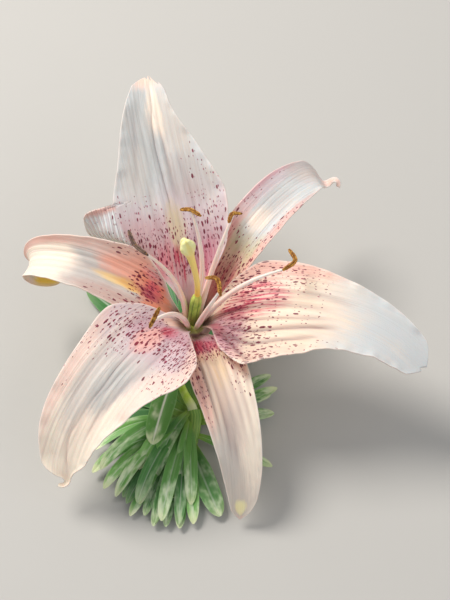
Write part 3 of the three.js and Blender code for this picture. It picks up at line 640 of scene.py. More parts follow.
petalInks = {
    # The cool grey #b9b9b6 and the warm grey #bfb0a8 are inks of painted shade. Grey, sand and cool are also
    # painted shade, and ivory is painted light, where the looks below say so; otherwise these are the
    # tepals' own tones.
    "ivory": "#ffeddb", "cream": "#f9e1ca", "cool": "#d8dada", "paintedShade": "#b9b9b6", "sand": "#d8ccc0",
    "paintedWarmShade": "#bfb0a8", "grey": "#cbc5bf", "lilac": "#d9c6c9", "mauve": "#bd8798", "clay": "#c9aaa0",
    "pink": "#f8d6c9", "shell": "#ffdccb", "blush": "#f3b9ac", "peach": "#f6ad94", "ember": "#ec9370",
    "amber": "#f8c06a", "honey": "#fbd892", "beige": "#d9c7a2", "rose": "#d9566f", "crimson": "#b31f45",
    # groove is painted shade in the folds and between the ribs
    "brown": "#a8704e", "groove": "#96797a", "claw": "#93736a", "outside": "#efe4d6",
    "outsideRib": "#a8b67c", "speckle": "#6a0f2b", "paleSpeckle": "#a83258", "rim": "#fff0e6",
    "lobe": "#ffffff", "tan": "#cbbd98", "lobeShade": "#e6dcdd", "straw": "#fff0bc", "tongue": "#ffd65c",
}

# A wash is an ink, the spot along and across the tepal where it is strongest, how far it reaches along and
# across, its strength, and how much of it runs in streaks along the veins. A speckled spot is the same with
# the share of the places that carry a speckle. Tip is an ink, where it starts and ends, and how much of it
# shows on the outer face.
petalLooks = {
    "tepal_upper_right": {
        "near": "tan", "far": "cool", "turn": (0.3, 0.46), "tip": ("pink", 0.82, 0.93, 0.7), "seed": 1.0,
        "washes": [
            # Painted light in the ivory wash at the middle; painted shade in the lilac wash along the left
            # margin, in the grey wash further along the middle, and in the warm grey wash near the tip.
            ("ivory", 0.48, 0.05, 0.08, 0.5, 0.95, 0.2), ("blush", 0.36, 0.95, 0.34, 0.6, 0.85, 0.1),
            ("lilac", 0.6, 0.9, 0.22, 0.5, 0.9, 0.1), ("rose", 0.62, 1.05, 0.24, 0.25, 0.35, 0.2),
            ("blush", 0.45, -1.0, 0.36, 0.4, 0.85, 0.1), ("pink", 0.78, 0.5, 0.08, 1.0, 0.2, 0.0),
            ("paintedWarmShade", 0.78, 0.6, 0.12, 0.8, 0.45, 0.2), ("grey", 0.6, 0.1, 0.14, 0.5, 0.5, 0.3),
            ("blush", 0.2, 0.0, 0.16, 1.5, 0.6, 0.3), ("crimson", 0.19, -0.2, 0.11, 0.9, 0.65, 0.6),
            ("crimson", 0.24, 0.75, 0.2, 0.45, 0.7, 0.5), ("rose", 0.1, 0.0, 0.09, 1.2, 0.5, 0.2),
        ],
        "speckled": [
            (0.2, -0.3, 0.14, 1.0, 0.8), (0.42, -0.95, 0.32, 0.4, 0.9), (0.34, 0.1, 0.12, 0.8, 0.3),
            (0.5, 0.95, 0.28, 0.35, 0.4),
        ],
    },
    "tepal_bottom": {
        # The sand ground towards the tip and the grey wash over the far right half are painted shade; the
        # ivory wash on the left half is painted light.
        "near": "cream", "far": "sand", "turn": (0.45, 0.62), "tip": ("pink", 0.965, 1.0, 0.4),
        "foldShadeShare": 0.8, "seed": 2.0,
        "washes": [
            ("grey", 0.72, -0.5, 0.14, 0.6, 0.4, 0.0), ("ivory", 0.56, 0.6, 0.36, 0.7, 0.9, 0.2),
            ("honey", 0.3, 0.1, 0.14, 0.45, 0.5, 0.6), ("blush", 0.34, -0.95, 0.3, 0.55, 0.9, 0.1),
            ("peach", 0.25, 0.9, 0.18, 0.6, 0.6, 0.2), ("peach", 0.18, 0.0, 0.12, 1.4, 0.7, 0.3),
            ("beige", 0.24, 0.2, 0.07, 0.7, 0.7, 0.4), ("mauve", 0.12, 0.1, 0.12, 1.6, 0.9, 0.1),
            ("rose", 0.15, -0.3, 0.09, 0.9, 0.75, 0.4), ("crimson", 0.15, -0.4, 0.06, 0.6, 0.85, 0.5),
            ("crimson", 0.17, 0.25, 0.05, 0.5, 0.6, 0.7), ("straw", 0.94, -0.05, 0.05, 0.65, 1.0, 0.0),
        ],
        "speckled": [
            (0.16, 0.1, 0.12, 1.6, 1.5), (0.32, -0.9, 0.26, 0.5, 0.8), (0.3, 0.8, 0.2, 0.55, 0.75),
        ],
    },
    "tepal_left": {
        "near": "grey", "far": "ivory", "turn": (0.5, 0.6), "tip": ("tongue", 0.84, 0.885, 1.0),
        "seed": 3.0,
        "washes": [
            ("clay", 0.34, 0.85, 0.28, 0.6, 0.9, 0.2), ("blush", 0.66, -1.0, 0.3, 0.45, 0.75, 0.0),
            ("peach", 0.34, -0.5, 0.17, 0.75, 0.9, 0.0), ("pink", 0.47, -0.9, 0.2, 0.5, 0.8, 0.1),
            ("rose", 0.2, -0.6, 0.1, 0.5, 0.6, 0.4), ("honey", 0.34, 0.08, 0.17, 0.2, 0.95, 0.1),
            ("amber", 0.29, 0.02, 0.1, 0.24, 0.95, 0.3), ("ember", 0.14, 0.1, 0.13, 1.2, 0.95, 0.1),
            ("ember", 0.25, -0.25, 0.07, 0.4, 0.8, 0.2), ("rose", 0.19, -0.2, 0.07, 0.5, 0.8, 0.3),
            ("crimson", 0.21, -0.05, 0.045, 0.3, 0.95, 0.6), ("brown", 0.07, 0.0, 0.05, 0.9, 0.4, 0.2),
        ],
        "speckled": [
            (0.22, -0.2, 0.11, 0.9, 1.0), (0.36, 0.85, 0.18, 0.4, 0.5), (0.4, -0.95, 0.12, 0.3, 0.5),
        ],
        "bold": [(0.25, -0.1, 0.06, 0.5, 0.7)],
    },
    "tepal_top": {
        "near": "lilac", "far": "cool", "turn": (0.38, 0.6), "tip": ("shell", 0.92, 0.97, 0.5), "seed": 4.0,
        "washes": [
            # Painted shade in the cool grey wash over the left half and in the warm grey wash on the right
            # half; painted light in the two ivory washes, the one near the tip a highlight along the midrib.
            ("paintedShade", 0.74, 0.5, 0.3, 0.75, 0.85, 0.2), ("paintedWarmShade", 0.56, -0.45, 0.14, 0.7, 0.6, 0.3),
            ("sand", 0.8, -0.6, 0.2, 0.6, 0.7, 0.1), ("ivory", 0.86, -0.1, 0.16, 0.4, 0.95, 0.1),
            ("ivory", 0.6, 0.62, 0.14, 0.35, 0.2, 0.3), ("mauve", 0.32, 0.5, 0.14, 0.7, 0.35, 0.3),
            ("blush", 0.32, 0.5, 0.14, 0.8, 0.2, 0.2), ("rose", 0.21, 0.75, 0.08, 0.4, 0.5, 0.2),
            ("rose", 0.22, 0.3, 0.13, 0.5, 0.65, 0.6), ("rose", 0.2, -0.6, 0.14, 0.4, 0.8, 0.5),
            ("beige", 0.36, 0.02, 0.15, 0.22, 0.85, 0.2), ("mauve", 0.26, -0.5, 0.14, 0.7, 0.6, 0.3),
            ("crimson", 0.215, 0.12, 0.1, 0.22, 0.85, 0.7), ("crimson", 0.2, -0.4, 0.09, 0.36, 0.4, 0.8),
            ("mauve", 0.1, 0.1, 0.06, 1.0, 0.5, 0.2),
        ],
        "speckled": [
            (0.27, 0.3, 0.15, 0.8, 0.75), (0.4, 0.5, 0.14, 0.45, 0.45), (0.32, -0.5, 0.2, 0.6, 0.6),
            (0.52, -0.75, 0.2, 0.4, 0.45), (0.44, 0.95, 0.12, 0.2, 0.5),
        ],
    },
    "tepal_lower_left": {
        "near": "lilac", "far": "ivory", "turn": (0.3, 0.6), "tip": ("cream", 0.9, 0.96, 0.6), "seed": 5.0,
        "washes": [
            # Painted shade in the two grey washes and in the darker cool grey wash in the middle; painted
            # light in the ivory wash towards the tip.
            ("grey", 0.55, -0.35, 0.25, 0.5, 0.8, 0.1), ("grey", 0.42, 0.3, 0.14, 0.5, 0.6, 0.1),
            ("ivory", 0.78, 0.4, 0.26, 0.7, 1.0, 0.0), ("paintedShade", 0.53, 0.1, 0.16, 0.45, 0.9, 0.2),
            ("pink", 0.56, -1.0, 0.34, 0.4, 0.95, 0.0), ("pink", 0.46, 0.85, 0.2, 0.5, 0.8, 0.1),
            ("mauve", 0.2, 0.3, 0.18, 1.2, 0.7, 0.2), ("lilac", 0.28, 0.45, 0.12, 0.5, 0.8, 0.1),
            ("blush", 0.26, -0.05, 0.12, 0.3, 0.8, 0.1), ("pink", 0.3, 1.0, 0.14, 0.3, 0.95, 0.0),
            ("rose", 0.14, 0.1, 0.08, 0.4, 0.5, 0.5), ("crimson", 0.15, 0.02, 0.05, 0.24, 0.8, 0.6),
            ("shell", 0.08, -0.5, 0.07, 0.4, 0.9, 0.0),
        ],
        "speckled": [
            (0.2, 0.1, 0.15, 1.3, 0.7), (0.25, 0.6, 0.1, 0.5, 0.5), (0.36, 0.8, 0.14, 0.5, 0.75),
            (0.34, -0.6, 0.16, 0.5, 0.5), (0.5, -0.92, 0.2, 0.2, 0.3),
        ],
        "bold": [(0.25, 0.0, 0.11, 0.35, 0.6), (0.32, 0.1, 0.09, 0.3, 0.4)],
    },
    "tepal_right": {
        # The ground turns cool grey towards the tip, and the tip ink is the same grey: painted shade where
        # the tepal droops away from the light.
        "near": "cream", "far": "cool", "turn": (0.46, 0.74), "tip": ("cool", 0.9, 1.0, 0.4),
        "foldShadeShare": 0.7, "seed": 6.0,
        "washes": [
            ("cream", 0.5, -0.2, 0.25, 0.5, 0.7, 0.4), ("shell", 0.3, 0.6, 0.18, 0.45, 0.9, 0.1),
            ("blush", 0.38, 1.0, 0.26, 0.45, 0.8, 0.1), ("blush", 0.3, -1.0, 0.3, 0.35, 0.35, 0.1),
            ("rose", 0.27, 0.2, 0.18, 0.5, 0.95, 0.8), ("mauve", 0.15, -0.6, 0.15, 0.9, 0.9, 0.2),
            ("crimson", 0.17, 0.1, 0.12, 0.5, 0.85, 0.7), ("crimson", 0.12, -0.7, 0.07, 0.3, 0.5, 0.3),
        ],
        "speckled": [
            (0.18, 0.3, 0.16, 1.0, 0.75), (0.34, 0.75, 0.24, 0.5, 0.65), (0.26, -0.8, 0.2, 0.6, 0.85),
            (0.44, 0.3, 0.16, 0.8, 0.35), (0.5, -0.95, 0.2, 0.3, 0.4),
        ],
    },
}

speckleSizes = {
    "large": {"length": 3.0, "width": 1.0, "smallest": 0.14, "spread": 0.24},
    "small": {"length": 1.9, "width": 0.72, "smallest": 0.11, "spread": 0.17},
    "bold": {"length": 4.2, "width": 1.7, "smallest": 0.15, "spread": 0.15},
}
speckleEdge = {
    "wander": 0.25, "along": 0.8, "across": 0.6, "ragged": 0.12, "grain": (1.2, 4.0), "soft": (-0.02, 0.05),
}


def petalMaterial(name, look):
    paint = Paint(name, petalInks)
    s, q, inner, lobe = (paint.mark(mark) for mark in ("along", "across", "inner", "lobe"))
    u = paint.add("ShaderNodeSeparateXYZ", sockets={0: paint.mark("tissue", "Vector")})
    v = u.other("Y")
    margin = abs(q)
    seed = look["seed"] * 17.0

    def noise(along, across, shift=0, detail=2.0):  # along and across are how fine it is that way
        return paint.cloudy(paint.place(u * along, v * across, seed + shift), 1.0, detail)

    def near(along, across, reachAlong, reachAcross):  # 1 at the spot, 0 at the end of its reach
        x = (s - along) / reachAlong
        y = (q - across) / reachAcross
        return 1.0 - x * x - y * y

    def shareOf(rows):
        parts = [near(*row).fade(0.0, 0.6) * most for *row, most in rows]
        return sum(parts[1:], parts[0])

    def speckles(share, shift, size):  # short dashes that lie along the veins
        edge = speckleEdge
        wander = noise(edge["wander"], edge["wander"], shift)
        x = u / size["length"] + wander * edge["along"]
        y = v / size["width"] + wander * edge["across"]
        sockets = {"Vector": paint.place(x, y, seed + shift), "Scale": 1.0, "Randomness": 1.0}
        cells = paint.add("ShaderNodeTexVoronoi", {"voronoi_dimensions": "2D"}, sockets, out="Distance")
        draw = paint.add("ShaderNodeSeparateColor", sockets={0: cells.other("Color")})
        radius = draw.other("Green") * size["spread"] + size["smallest"]
        radius = radius + (noise(*edge["grain"], shift) - 0.5) * edge["ragged"]
        return (radius - cells).fade(*edge["soft"]) * (draw < share), draw.other("Blue")

    veins = noise(0.02, 1.3, detail=3.0)
    streaks = noise(0.09, 1.1, 2)
    clouds = noise(0.05, 0.12, 5)
    ragged = noise(0.3, 0.9, 7)
    streaky = streaks.fade(0.42, 0.58)

    # the ground, with paler and greyer veins and soft clouds
    paint.colour = paint.mix((s + (clouds - 0.5) * 0.3).fade(*look["turn"]), look["near"], look["far"])
    paint.cover((clouds + (veins - 0.5) * 0.5).fade(0.5, 0.75) * 0.4, "ivory")
    paint.cover(veins.fade(0.5, 0.72) * 0.3, "grey")
    for ink, *row, strength, broken in look["washes"]:
        mask = (near(*row) + (veins + ragged - 1.0) * 0.6).fade(0.0, 0.9) * strength
        paint.cover(mask * (streaky * broken + (1 - broken)), ink)
    paint.cover(1.0 - (s + (veins - 0.5) * 0.06).fade(0.03, 0.09), "claw")
    # painted shade in the folds and between the ribs, darker where they sink deeper
    paint.cover(paint.mark("groove") * look.get("foldShadeShare", 0.6), "groove")

    # the folded lobe shows its ribbed back
    ridges = paint.maths("COSINE", v * (2 * math.pi / tepalGrain["lobeRibSpacing"]))
    ridged = (ridges + (streaks - 0.5) * 3.0).fade(-0.6, 0.8)
    lobeRim = (s + (clouds - 0.5) * 0.06).fade(0.466, 0.488) * 0.8
    paint.cover(lobe, paint.mix(lobeRim, paint.mix(ridged, "lobeShade", "lobe"), "blush"))

    share = shareOf(look["speckled"]) * s.fade(0.08, 0.14) * (1.0 - lobe * 0.8)
    nearby = 1.0 - s.fade(0.28, 0.5)
    large, largeTone = speckles(share * (nearby * 0.6 + 0.1), 0, speckleSizes["large"])
    small, smallTone = speckles(share * 0.6, 9, speckleSizes["small"])
    paint.cover(small * 0.9, paint.mix(smallTone, "speckle", "paleSpeckle"))
    paint.cover(large * 0.95, paint.mix(largeTone * 0.5, "speckle", "paleSpeckle"))
    if "bold" in look:
        bold, boldTone = speckles(shareOf(look["bold"]), 13, speckleSizes["bold"])
        paint.cover(bold * 0.95, paint.mix(boldTone * 0.3, "speckle", "crimson"))
    tipInk, tipFrom, tipTo, outsideTip = look["tip"]
    tip = (s + (clouds - 0.5) * 0.05 + (veins - 0.5) * 0.04).fade(tipFrom, tipTo)
    tip = tip * (1.0 - margin.fade(0.6, 1.0) * 0.6)
    paint.cover(tip, tipInk)
    # painted highlight: a pale rim along the margins
    paint.cover(margin.fade(0.94, 1.0) * 0.35, "rim")
    inside = paint.colour

    # the outer face is paler, with a green rib
    paint.colour = paint.mix(margin.fade(0.4, 1.0) * 0.4, "outside", "blush")
    paint.cover((1.0 - abs(v).fade(0.6, 2.4)) * (1.0 - s.fade(0.2, 0.95)) * 0.8, "outsideRib")
    paint.cover(veins.fade(0.5, 0.7) * 0.25, "grey")
    paint.cover(tip * outsideTip, tipInk)
    paint.cover(inner, inside)
    height = veins * 0.9 + noise(3.0, 3.0) * 0.12 + large * 0.35 * inner + ridged * lobe * 1.5
    return paint.close(0.48 + (veins - 0.5) * 0.2, height, petalFinish)


tepalDraws = seededDraws(tepalGrain["seed"])
for tepalName, tepalShape in tepals.items():
    petalLook = petalMaterial(tepalName.replace("tepal", "petal"), petalLooks[tepalName])
    keep(tepalPiece(tepalName, tepalShape, petalLook, tepalDraws), "tepal", tepalName)
print("lily: six tepals")


# Stamens: a tapering filament and a furrowed anther, dusted with pollen

stamenSizes = {
    "filamentFoot": 2.85,  # from the middle of the receptacle
    "filamentFootHeight": -0.3,
    "filamentRadius": 1.1,
    "filamentTaper": {0: 0.75, 0.2: 1, 0.6: 0.8, 1: 0.36},
    "filamentSides": 20,
    "sunk": 0.5,  # into the receptacle and into the anther
    "antherRadius": 0.7,
    "antherClear": 1.1,
    "antherTaper": {0: 0.5, 0.12: 0.9, 0.5: 1, 0.88: 0.9, 1: 0.5},
    "antherLobes": 0.14,
    "antherFurrow": {"depth": 0.42, "turn": 1.57, "twist": 0.9, "width": 0.34},
    "antherSeam": {"depth": 0.16, "turn": -1.57, "width": 0.25},
    "antherKnobs": [(0.05, 31, 0), (0.04, 57, 1)],  # height, how many, and where they start
    "antherSides": 24,
    "rings": 46,
}

stamens = {
    "upper": {"heading": 104, "tip": [0.2, 20.5, 45], "bow": [8, -4, 2], "hold": 0.5,
              "anther": [[-3.8, 1.9, -1.2], [-0.2, 0.6, 0.6], [3.6, -1.9, 0.4]]},
    "upper_right": {"heading": 46, "tip": [15.2, 21.4, 41.6], "bow": [-1, 0, 3], "hold": 0.62,
                    "anther": [[-2.8, -3, 0.8], [-1.4, 1.2, 0.2], [2, 2.2, -1.2]]},
    "right": {"heading": -8, "tip": [32.6, 1.4, 36], "bow": [-4, 0, 10], "hold": 0.97,
              "anther": [[2.4, 8.4, 0], [4.4, 3.4, 0.4], [0, -0.4, 0]]},
    "lower_right": {"heading": -66, "tip": [10.3, -14.2, 47], "bow": [-1, 0, -2], "hold": 0.85,
                    "anther": [[-4.6, 6.6, 0], [-0.8, 5.6, 1], [0.6, -0.6, 0]]},
    "lower_left": {"heading": -124, "tip": [-12.4, -21.4, 40], "bow": [3, 0.6, 13], "hold": 0.68,
                   "anther": [[1.8, 1.4, 4.2], [0, 0, 0], [-2, -1.6, -4.4]]},
    "left": {"heading": 168, "tip": [-15.5, 2, 46], "bow": [7, 2, 3], "hold": 0.9,
             "anther": [[-6.8, 10.4, 0], [-4.4, 4.2, 0.4], [0.4, 0, 0]], "spent": True},
}


def filamentLine(stamen):
    foot = direction(stamen["heading"], 0) * stamenSizes["filamentFoot"]
    foot[2] = stamenSizes["filamentFootHeight"]
    tip = np.array(stamen["tip"], float)
    control = (foot + tip) / 2 + np.array(stamen["bow"], float)
    t = np.linspace(0, 1, stamenSizes["rings"])[:, None]
    line = foot * (1 - t) ** 2 + 2 * control * t * (1 - t) + tip * t**2
    sunkFoot = line[0] + unit(line[0] - line[1]) * stamenSizes["sunk"]
    sunkTip = line[-1] + unit(line[-1] - line[-2]) * stamenSizes["sunk"]
    return np.vstack([sunkFoot, line, sunkTip])


def antherLine(stamen):
    line = roundedLine(stamen["anther"], stamenSizes["rings"])
    before, end = filamentLine(stamen)[-3:-1]
    seat = end + unit(end - before) * stamenSizes["antherClear"]
    return line + seat - pointsAt(line, np.array(stamen["hold"]))


def antherRadius(s, turn):  # two lobes with a furrow between them, each split along its side
    section = 1 + stamenSizes["antherLobes"] * np.cos(2 * turn)
    for dent in (stamenSizes["antherFurrow"], stamenSizes["antherSeam"]):
        away = np.angle(np.exp(1j * (turn - dent["turn"] - dent.get("twist", 0) * s)))
        section = section - dent["depth"] * np.exp(-((away / dent["width"]) ** 2))
    radius = stamenSizes["antherRadius"] * float(trackAt(stamenSizes["antherTaper"], s))
    knobs = [height * math.sin(many * s + start) for height, many, start in stamenSizes["antherKnobs"]]
    return radius * section * (1 + sum(knobs))


filamentFinish = {
    "relief": 0.12, "glow": 0.3, "glowTint": (1.0, 0.5, 0.4), "glowReach": 1.2, "gloss": 0.45,
    "pale": "#fff6ee", "pink": "#ffdccf", "foot": "#d8cb9c",
}

antherFinish = {
    "relief": 0.2, "glow": 0.0, "glowTint": (1.0, 0.5, 0.2), "glowReach": 0.5, "gloss": 0.2,
    "fresh": {"gold": "#dca650", "rust": "#9c6630", "brown": "#4c2a1a"},
    "spent": {"gold": "#8d7464", "rust": "#65504a", "brown": "#382a28"},
}

pollenDust = {  # grains on a square millimetre of a fresh anther and of a spent one
    "fresh": 7.0, "spent": 0.6, "grainRadius": 0.13, "smallest": 0.6, "largest": 1.15, "seed": 5,
    "colour": "#d9a658", "shadow": "#8a5426",
}


def filamentMaterial():
    paint = Paint("filament", filamentFinish)
    s = paint.mark("along")
    streak = paint.cloudy(paint.place(s * 3.0, paint.mark("across") * 4.0))
    paint.colour = paint.mix((streak + (1.0 - s) * 0.2).fade(0.42, 0.72), "pale", "pink")
    paint.cover(1.0 - s.fade(0.02, 0.2), "foot")
    return paint.close(0.4 + streak * 0.15, streak, filamentFinish)


def antherMaterial(state):
    paint = Paint(f"anther_{state}", antherFinish[state])
    spot = paint.spot()
    patches = paint.cloudy(spot, 420.0, 3.0)
    grains = paint.cloudy(spot, 2600.0)
    furrow = 1.0 - abs(paint.mark("turn") - 1.57).fade(0.15, 0.8)
    paint.colour = paint.mix(patches.fade(0.42, 0.6), "rust", "gold")
    paint.cover(patches.fade(0.56, 0.7) * 0.8, "brown")
    paint.cover(furrow * 0.7, "brown")
    return paint.close(0.75 + grains * 0.15, grains + patches, antherFinish)


def pollenMaterial():
    paint = Paint("pollen", pollenDust)
    tone = paint.cloudy(paint.spot(), 900.0)
    paint.colour = paint.mix(tone.fade(0.4, 0.6), "shadow", "colour")
    return paint.close(0.85 + tone * 0.1, tone, antherFinish)


def pollenTree():
    inputs = {"Density": "Float", "Grain Radius": "Float", "Seed": "Int", "Material": "Material"}
    tree, sheet, given = newTree("pollenDust", inputs)
    seed = given.other("Seed")
    sockets = {"Mesh": given, "Density": given.other("Density"), "Seed": seed}
    spots = sheet.add("GeometryNodeDistributePointsOnFaces", sockets=sockets)
    sockets = {"Radius": given.other("Grain Radius"), "Subdivisions": 1}
    grain = sheet.add("GeometryNodeMeshIcoSphere", sockets=sockets)
    sockets = {2: pollenDust["smallest"], 3: pollenDust["largest"], "Seed": seed}
    size = sheet.add("FunctionNodeRandomValue", {"data_type": "FLOAT"}, sockets, out=1)
    sockets = {"Points": spots, "Instance": grain, "Scale": size}
    scattered = sheet.add("GeometryNodeInstanceOnPoints", sockets=sockets)
    closeTree(sheet, scattered, given.other("Material"))
    return tree


rodTree = sweptTree("taperedRod", {"Sides": "Int", "Material": "Material"})
filamentLook = filamentMaterial()
antherLooks = {state: antherMaterial(state) for state in ("fresh", "spent")}
dustTree = pollenTree()
dustLook = pollenMaterial()
for number, (stamenName, stamen) in enumerate(stamens.items()):
    line = filamentLine(stamen)
    taper = trackAt(stamenSizes["filamentTaper"], np.linspace(0, 1, len(line)))
    marks = {"halfWidth": [taper * stamenSizes["filamentRadius"] * millimetre]}
    values = {"Sides": stamenSizes["filamentSides"], "Material": filamentLook}
    filament = sweep(f"filament_{stamenName}", [line + bloomCentre], marks, rodTree, values)
    keep(filament, "filament", f"filament_{stamenName}")
    state = "spent" if "spent" in stamen else "fresh"
    path = antherLine(stamen) + bloomCentre
    sides = stamenSizes["antherSides"]
    anther = rodPiece(f"anther_{stamenName}", path, antherRadius, sides, antherLooks[state])
    grains = {"Density": pollenDust[state] / millimetre**2,
              "Grain Radius": pollenDust["grainRadius"] * millimetre,
              "Seed": pollenDust["seed"] + number, "Material": dustLook}
    keep(grow(f"pollen_{stamenName}", anther, dustTree, grains), "anther")
    keep(anther, "anther", f"anther_{stamenName}")
print("lily: six stamens")


# Pistil: the grooved ovary, and the style that widens to a stigma of three lobes

pistil = {
    "ovaryLine": [[0, 0, -0.5], [0.4, 0.3, 6], [1.1, 0.8, 12], [1.95, 1.35, 17.8]],
    "ovarySwell": {0: 1.4, 0.35: 2.1, 0.75: 2.2, 0.93: 1.8, 1: 1.2},
    "ovaryGroove": 0.07,
    "grooveWidth": 0.28,
    "ovaryRidge": 0.03,
    "ovarySides": 72,
    "styleLine": [[1.95, 1.35, 17.3], [2.1, 1.5, 26], [1, 1.8, 38], [-1.6, 2.6, 53]],
    "styleSwell": {0: 1, 0.5: 1.15, 0.75: 1.5, 0.86: 2.3, 0.93: 2.75, 0.98: 2.3, 1: 1.7},
    "stigmaLobes": {0: 0, 0.8: 0, 0.92: 0.14, 1: 0.24},
    "stigmaBumps": {"height": 0.03, "start": (0.86, 0.92), "around": 17, "onward": 40},
    "styleSides": 60,
    "rings": 90,
}

ovaryFinish = {
    "relief": 0.1, "glow": 0.15, "glowTint": (0.6, 1.0, 0.3), "glowReach": 0.8, "gloss": 0.5,
    "green": "#93bd48", "pale": "#bada6a", "dark": "#5c8a2e", "top": "#d3d76a", "foot": "#7b6f3c",
}

styleFinish = {
    "relief": 0.09, "glow": 0.2, "glowTint": (1.0, 0.9, 0.3), "glowReach": 1.0, "gloss": 0.5,
    "stalk": "#ffe988", "green": "#f8d75c", "stigma": "#fffbb4", "groove": "#f4dc70",
}


def ovaryRadius(s, turn):
    grooved = np.abs(np.sin(3 * turn)) < pistil["grooveWidth"]
    ridge = 1 - pistil["ovaryGroove"] * grooved * np.cos(3 * turn) ** 2
    return float(trackAt(pistil["ovarySwell"], s)) * ridge * (1 + pistil["ovaryRidge"] * np.cos(3 * turn))


def styleRadius(s, turn):
    lobe = float(trackAt(pistil["stigmaLobes"], s))
    bump = pistil["stigmaBumps"]
    bumps = bump["height"] * float(softStep(np.array(s), *bump["start"]))
    bumps = bumps * np.cos(bump["around"] * turn + bump["onward"] * s)
    return float(trackAt(pistil["styleSwell"], s)) * (1 + lobe * np.cos(3 * turn) + bumps)


def ovaryMaterial():
    paint = Paint("ovary", ovaryFinish)
    s = paint.mark("along")
    patches = paint.cloudy(paint.spot(), 500.0)
    wave = paint.maths("SINE", paint.mark("turn") * 3.0)
    paint.colour = paint.mix(patches.fade(0.35, 0.65), "green", "pale")
    paint.cover(1.0 - abs(wave).fade(0.1, 0.45), "dark")
    paint.cover(s.fade(0.75, 1.0) * 0.6, "top")
    paint.cover((1.0 - s.fade(0.2, 0.6)) * 0.8, "foot")
    return paint.close(0.38 + patches * 0.15, patches, ovaryFinish)


def styleMaterial():
    paint = Paint("style", styleFinish)
    s = paint.mark("along")
    spot = paint.spot()
    fine = paint.add("ShaderNodeTexVoronoi", sockets={"Vector": spot, "Scale": 3400.0}, out="Distance")
    patches = paint.cloudy(spot, 380.0)
    wave = paint.maths("COSINE", paint.mark("turn") * 3.0)
    knob = s.fade(0.8, 0.9)
    paint.colour = paint.mix(1.0 - (s + (patches - 0.5) * 0.2).fade(0.0, 0.35), "stalk", "green")
    paint.cover(knob, "stigma")
    paint.cover(knob * (1.0 - wave.fade(-0.9, 0.1)) * 0.5, "groove")
    return paint.close(0.32 + patches * 0.2, patches * 0.5 + knob * (1.0 - fine), styleFinish)


ovaryPath = roundedLine(pistil["ovaryLine"], pistil["rings"]) + bloomCentre
keep(rodPiece("ovary", ovaryPath, ovaryRadius, pistil["ovarySides"], ovaryMaterial()), "ovary", "ovary")
stylePath = roundedLine(pistil["styleLine"], pistil["rings"]) + bloomCentre
style = rodPiece("style_and_stigma", stylePath, styleRadius, pistil["styleSides"], styleMaterial())
keep(style, "style", "style_and_stigma")
print("lily: pistil")


# Pedicel, the bloom's own stalk, with the receptacle at its top

pedicel = {
    "line": [
        [-0.05, -29.7, 5.03], [-0.38, -28.28, 5.38], [-3.6, -22.4, 7], [-6.6, -14, 10.2], [-4, -5.6, 15.4],
        [0, 0, 19.6],
    ],
    "rings": 70,
    "radius": 1.2,
    "rootSwell": 0.7,
    "stalkSides": 28,
    "receptacle": [  # radius, height and how much of the throat's colour shows
        (0.05, -0.35, 0), (2.2, -0.3, 0), (4.6, -0.45, 0.3), (5.3, -0.9, 1), (5.6, -2.2, 1), (6.8, -2.3, 1),
        (7.2, -2.65, 1), (6.9, -3.2, 0.6), (4.9, -4.8, 0), (3.2, -6.4, 0), (1.8, -7.6, 0), (1.2, -8.6, 0),
    ],
    "receptacleSides": 72,
    "lobes": 0.025,
    "relief": 0.12, "glow": 0.15, "glowTint": (0.7, 1.0, 0.3), "glowReach": 1.0, "gloss": 0.45,
    "green": "#cdec56", "pale": "#e4f38c", "node": "#eef4c0", "claw": "#84703c", "throat": "#b07a80",
}


def receptaclePiece(material):
    sides = pedicel["receptacleSides"]
    turn = np.arange(sides) * 2 * math.pi / sides
    rings = []
    for radius, height, _ in pedicel["receptacle"]:
        r = radius * (1 + pedicel["lobes"] * np.cos(6 * turn) * min(radius / 5, 1))
        rings.append(np.stack([r * np.cos(turn), r * np.sin(turn), np.full_like(turn, height)], axis=-1))
    throat = [share for _, _, share in pedicel["receptacle"]]
    marks = {"along": np.ones(len(rings) * sides), "throat": np.repeat(throat, sides)}
    return ringsPiece("receptacle", np.array(rings) + bloomCentre, marks, material)


def pedicelMaterial():
    paint = Paint("pedicel", pedicel)
    s = paint.mark("along")
    patches = paint.cloudy(paint.spot(), 260.0, 3.0)
    paint.colour = paint.mix(patches.fade(0.35, 0.65), "green", "pale")
    paint.cover(1.0 - s.fade(0.03, 0.14), "node")
    paint.cover(s.fade(0.9, 1.0) * 0.6, "claw")
    paint.cover(paint.mark("throat") * 0.85, "throat")
    return paint.close(0.38 + patches * 0.15, patches, pedicel)


pedicelLook = pedicelMaterial()
path = roundedLine(pedicel["line"], pedicel["rings"])
swell = pedicel["radius"] + pedicel["rootSwell"] * (1 - np.linspace(0, 1, pedicel["rings"])) ** 3
values = {"Sides": pedicel["stalkSides"], "Material": pedicelLook}
stalk = sweep("pedicel", [path + stemFoot], {"halfWidth": [swell * millimetre]}, rodTree, values)
keep(stalk, "pedicel", "pedicel")
keep(receptaclePiece(pedicelLook), "pedicel", "pedicel")
print("lily: pedicel and receptacle")


# Stem and leaves. Each tier of leaves grows from one place on the stem and is swept from one heading
# to another, and bends by its arch towards one heading; a leaf lies on the layers of leaves below it.

stem = {
    "line": [
        [-7, -65, 2.35], [-4, -52, 2.35], [-0.4, -40, 2.35], [0.6, -32.2, 4.4], [0.3, -31, 4.7],
        [0, -29.8, 5],
    ],
    "rings": 80,
    "radius": 2.7,
    "sides": 36,
    "green": "#6f9c46", "pale": "#9cbd5e", "cut": "#d9dfae",
}

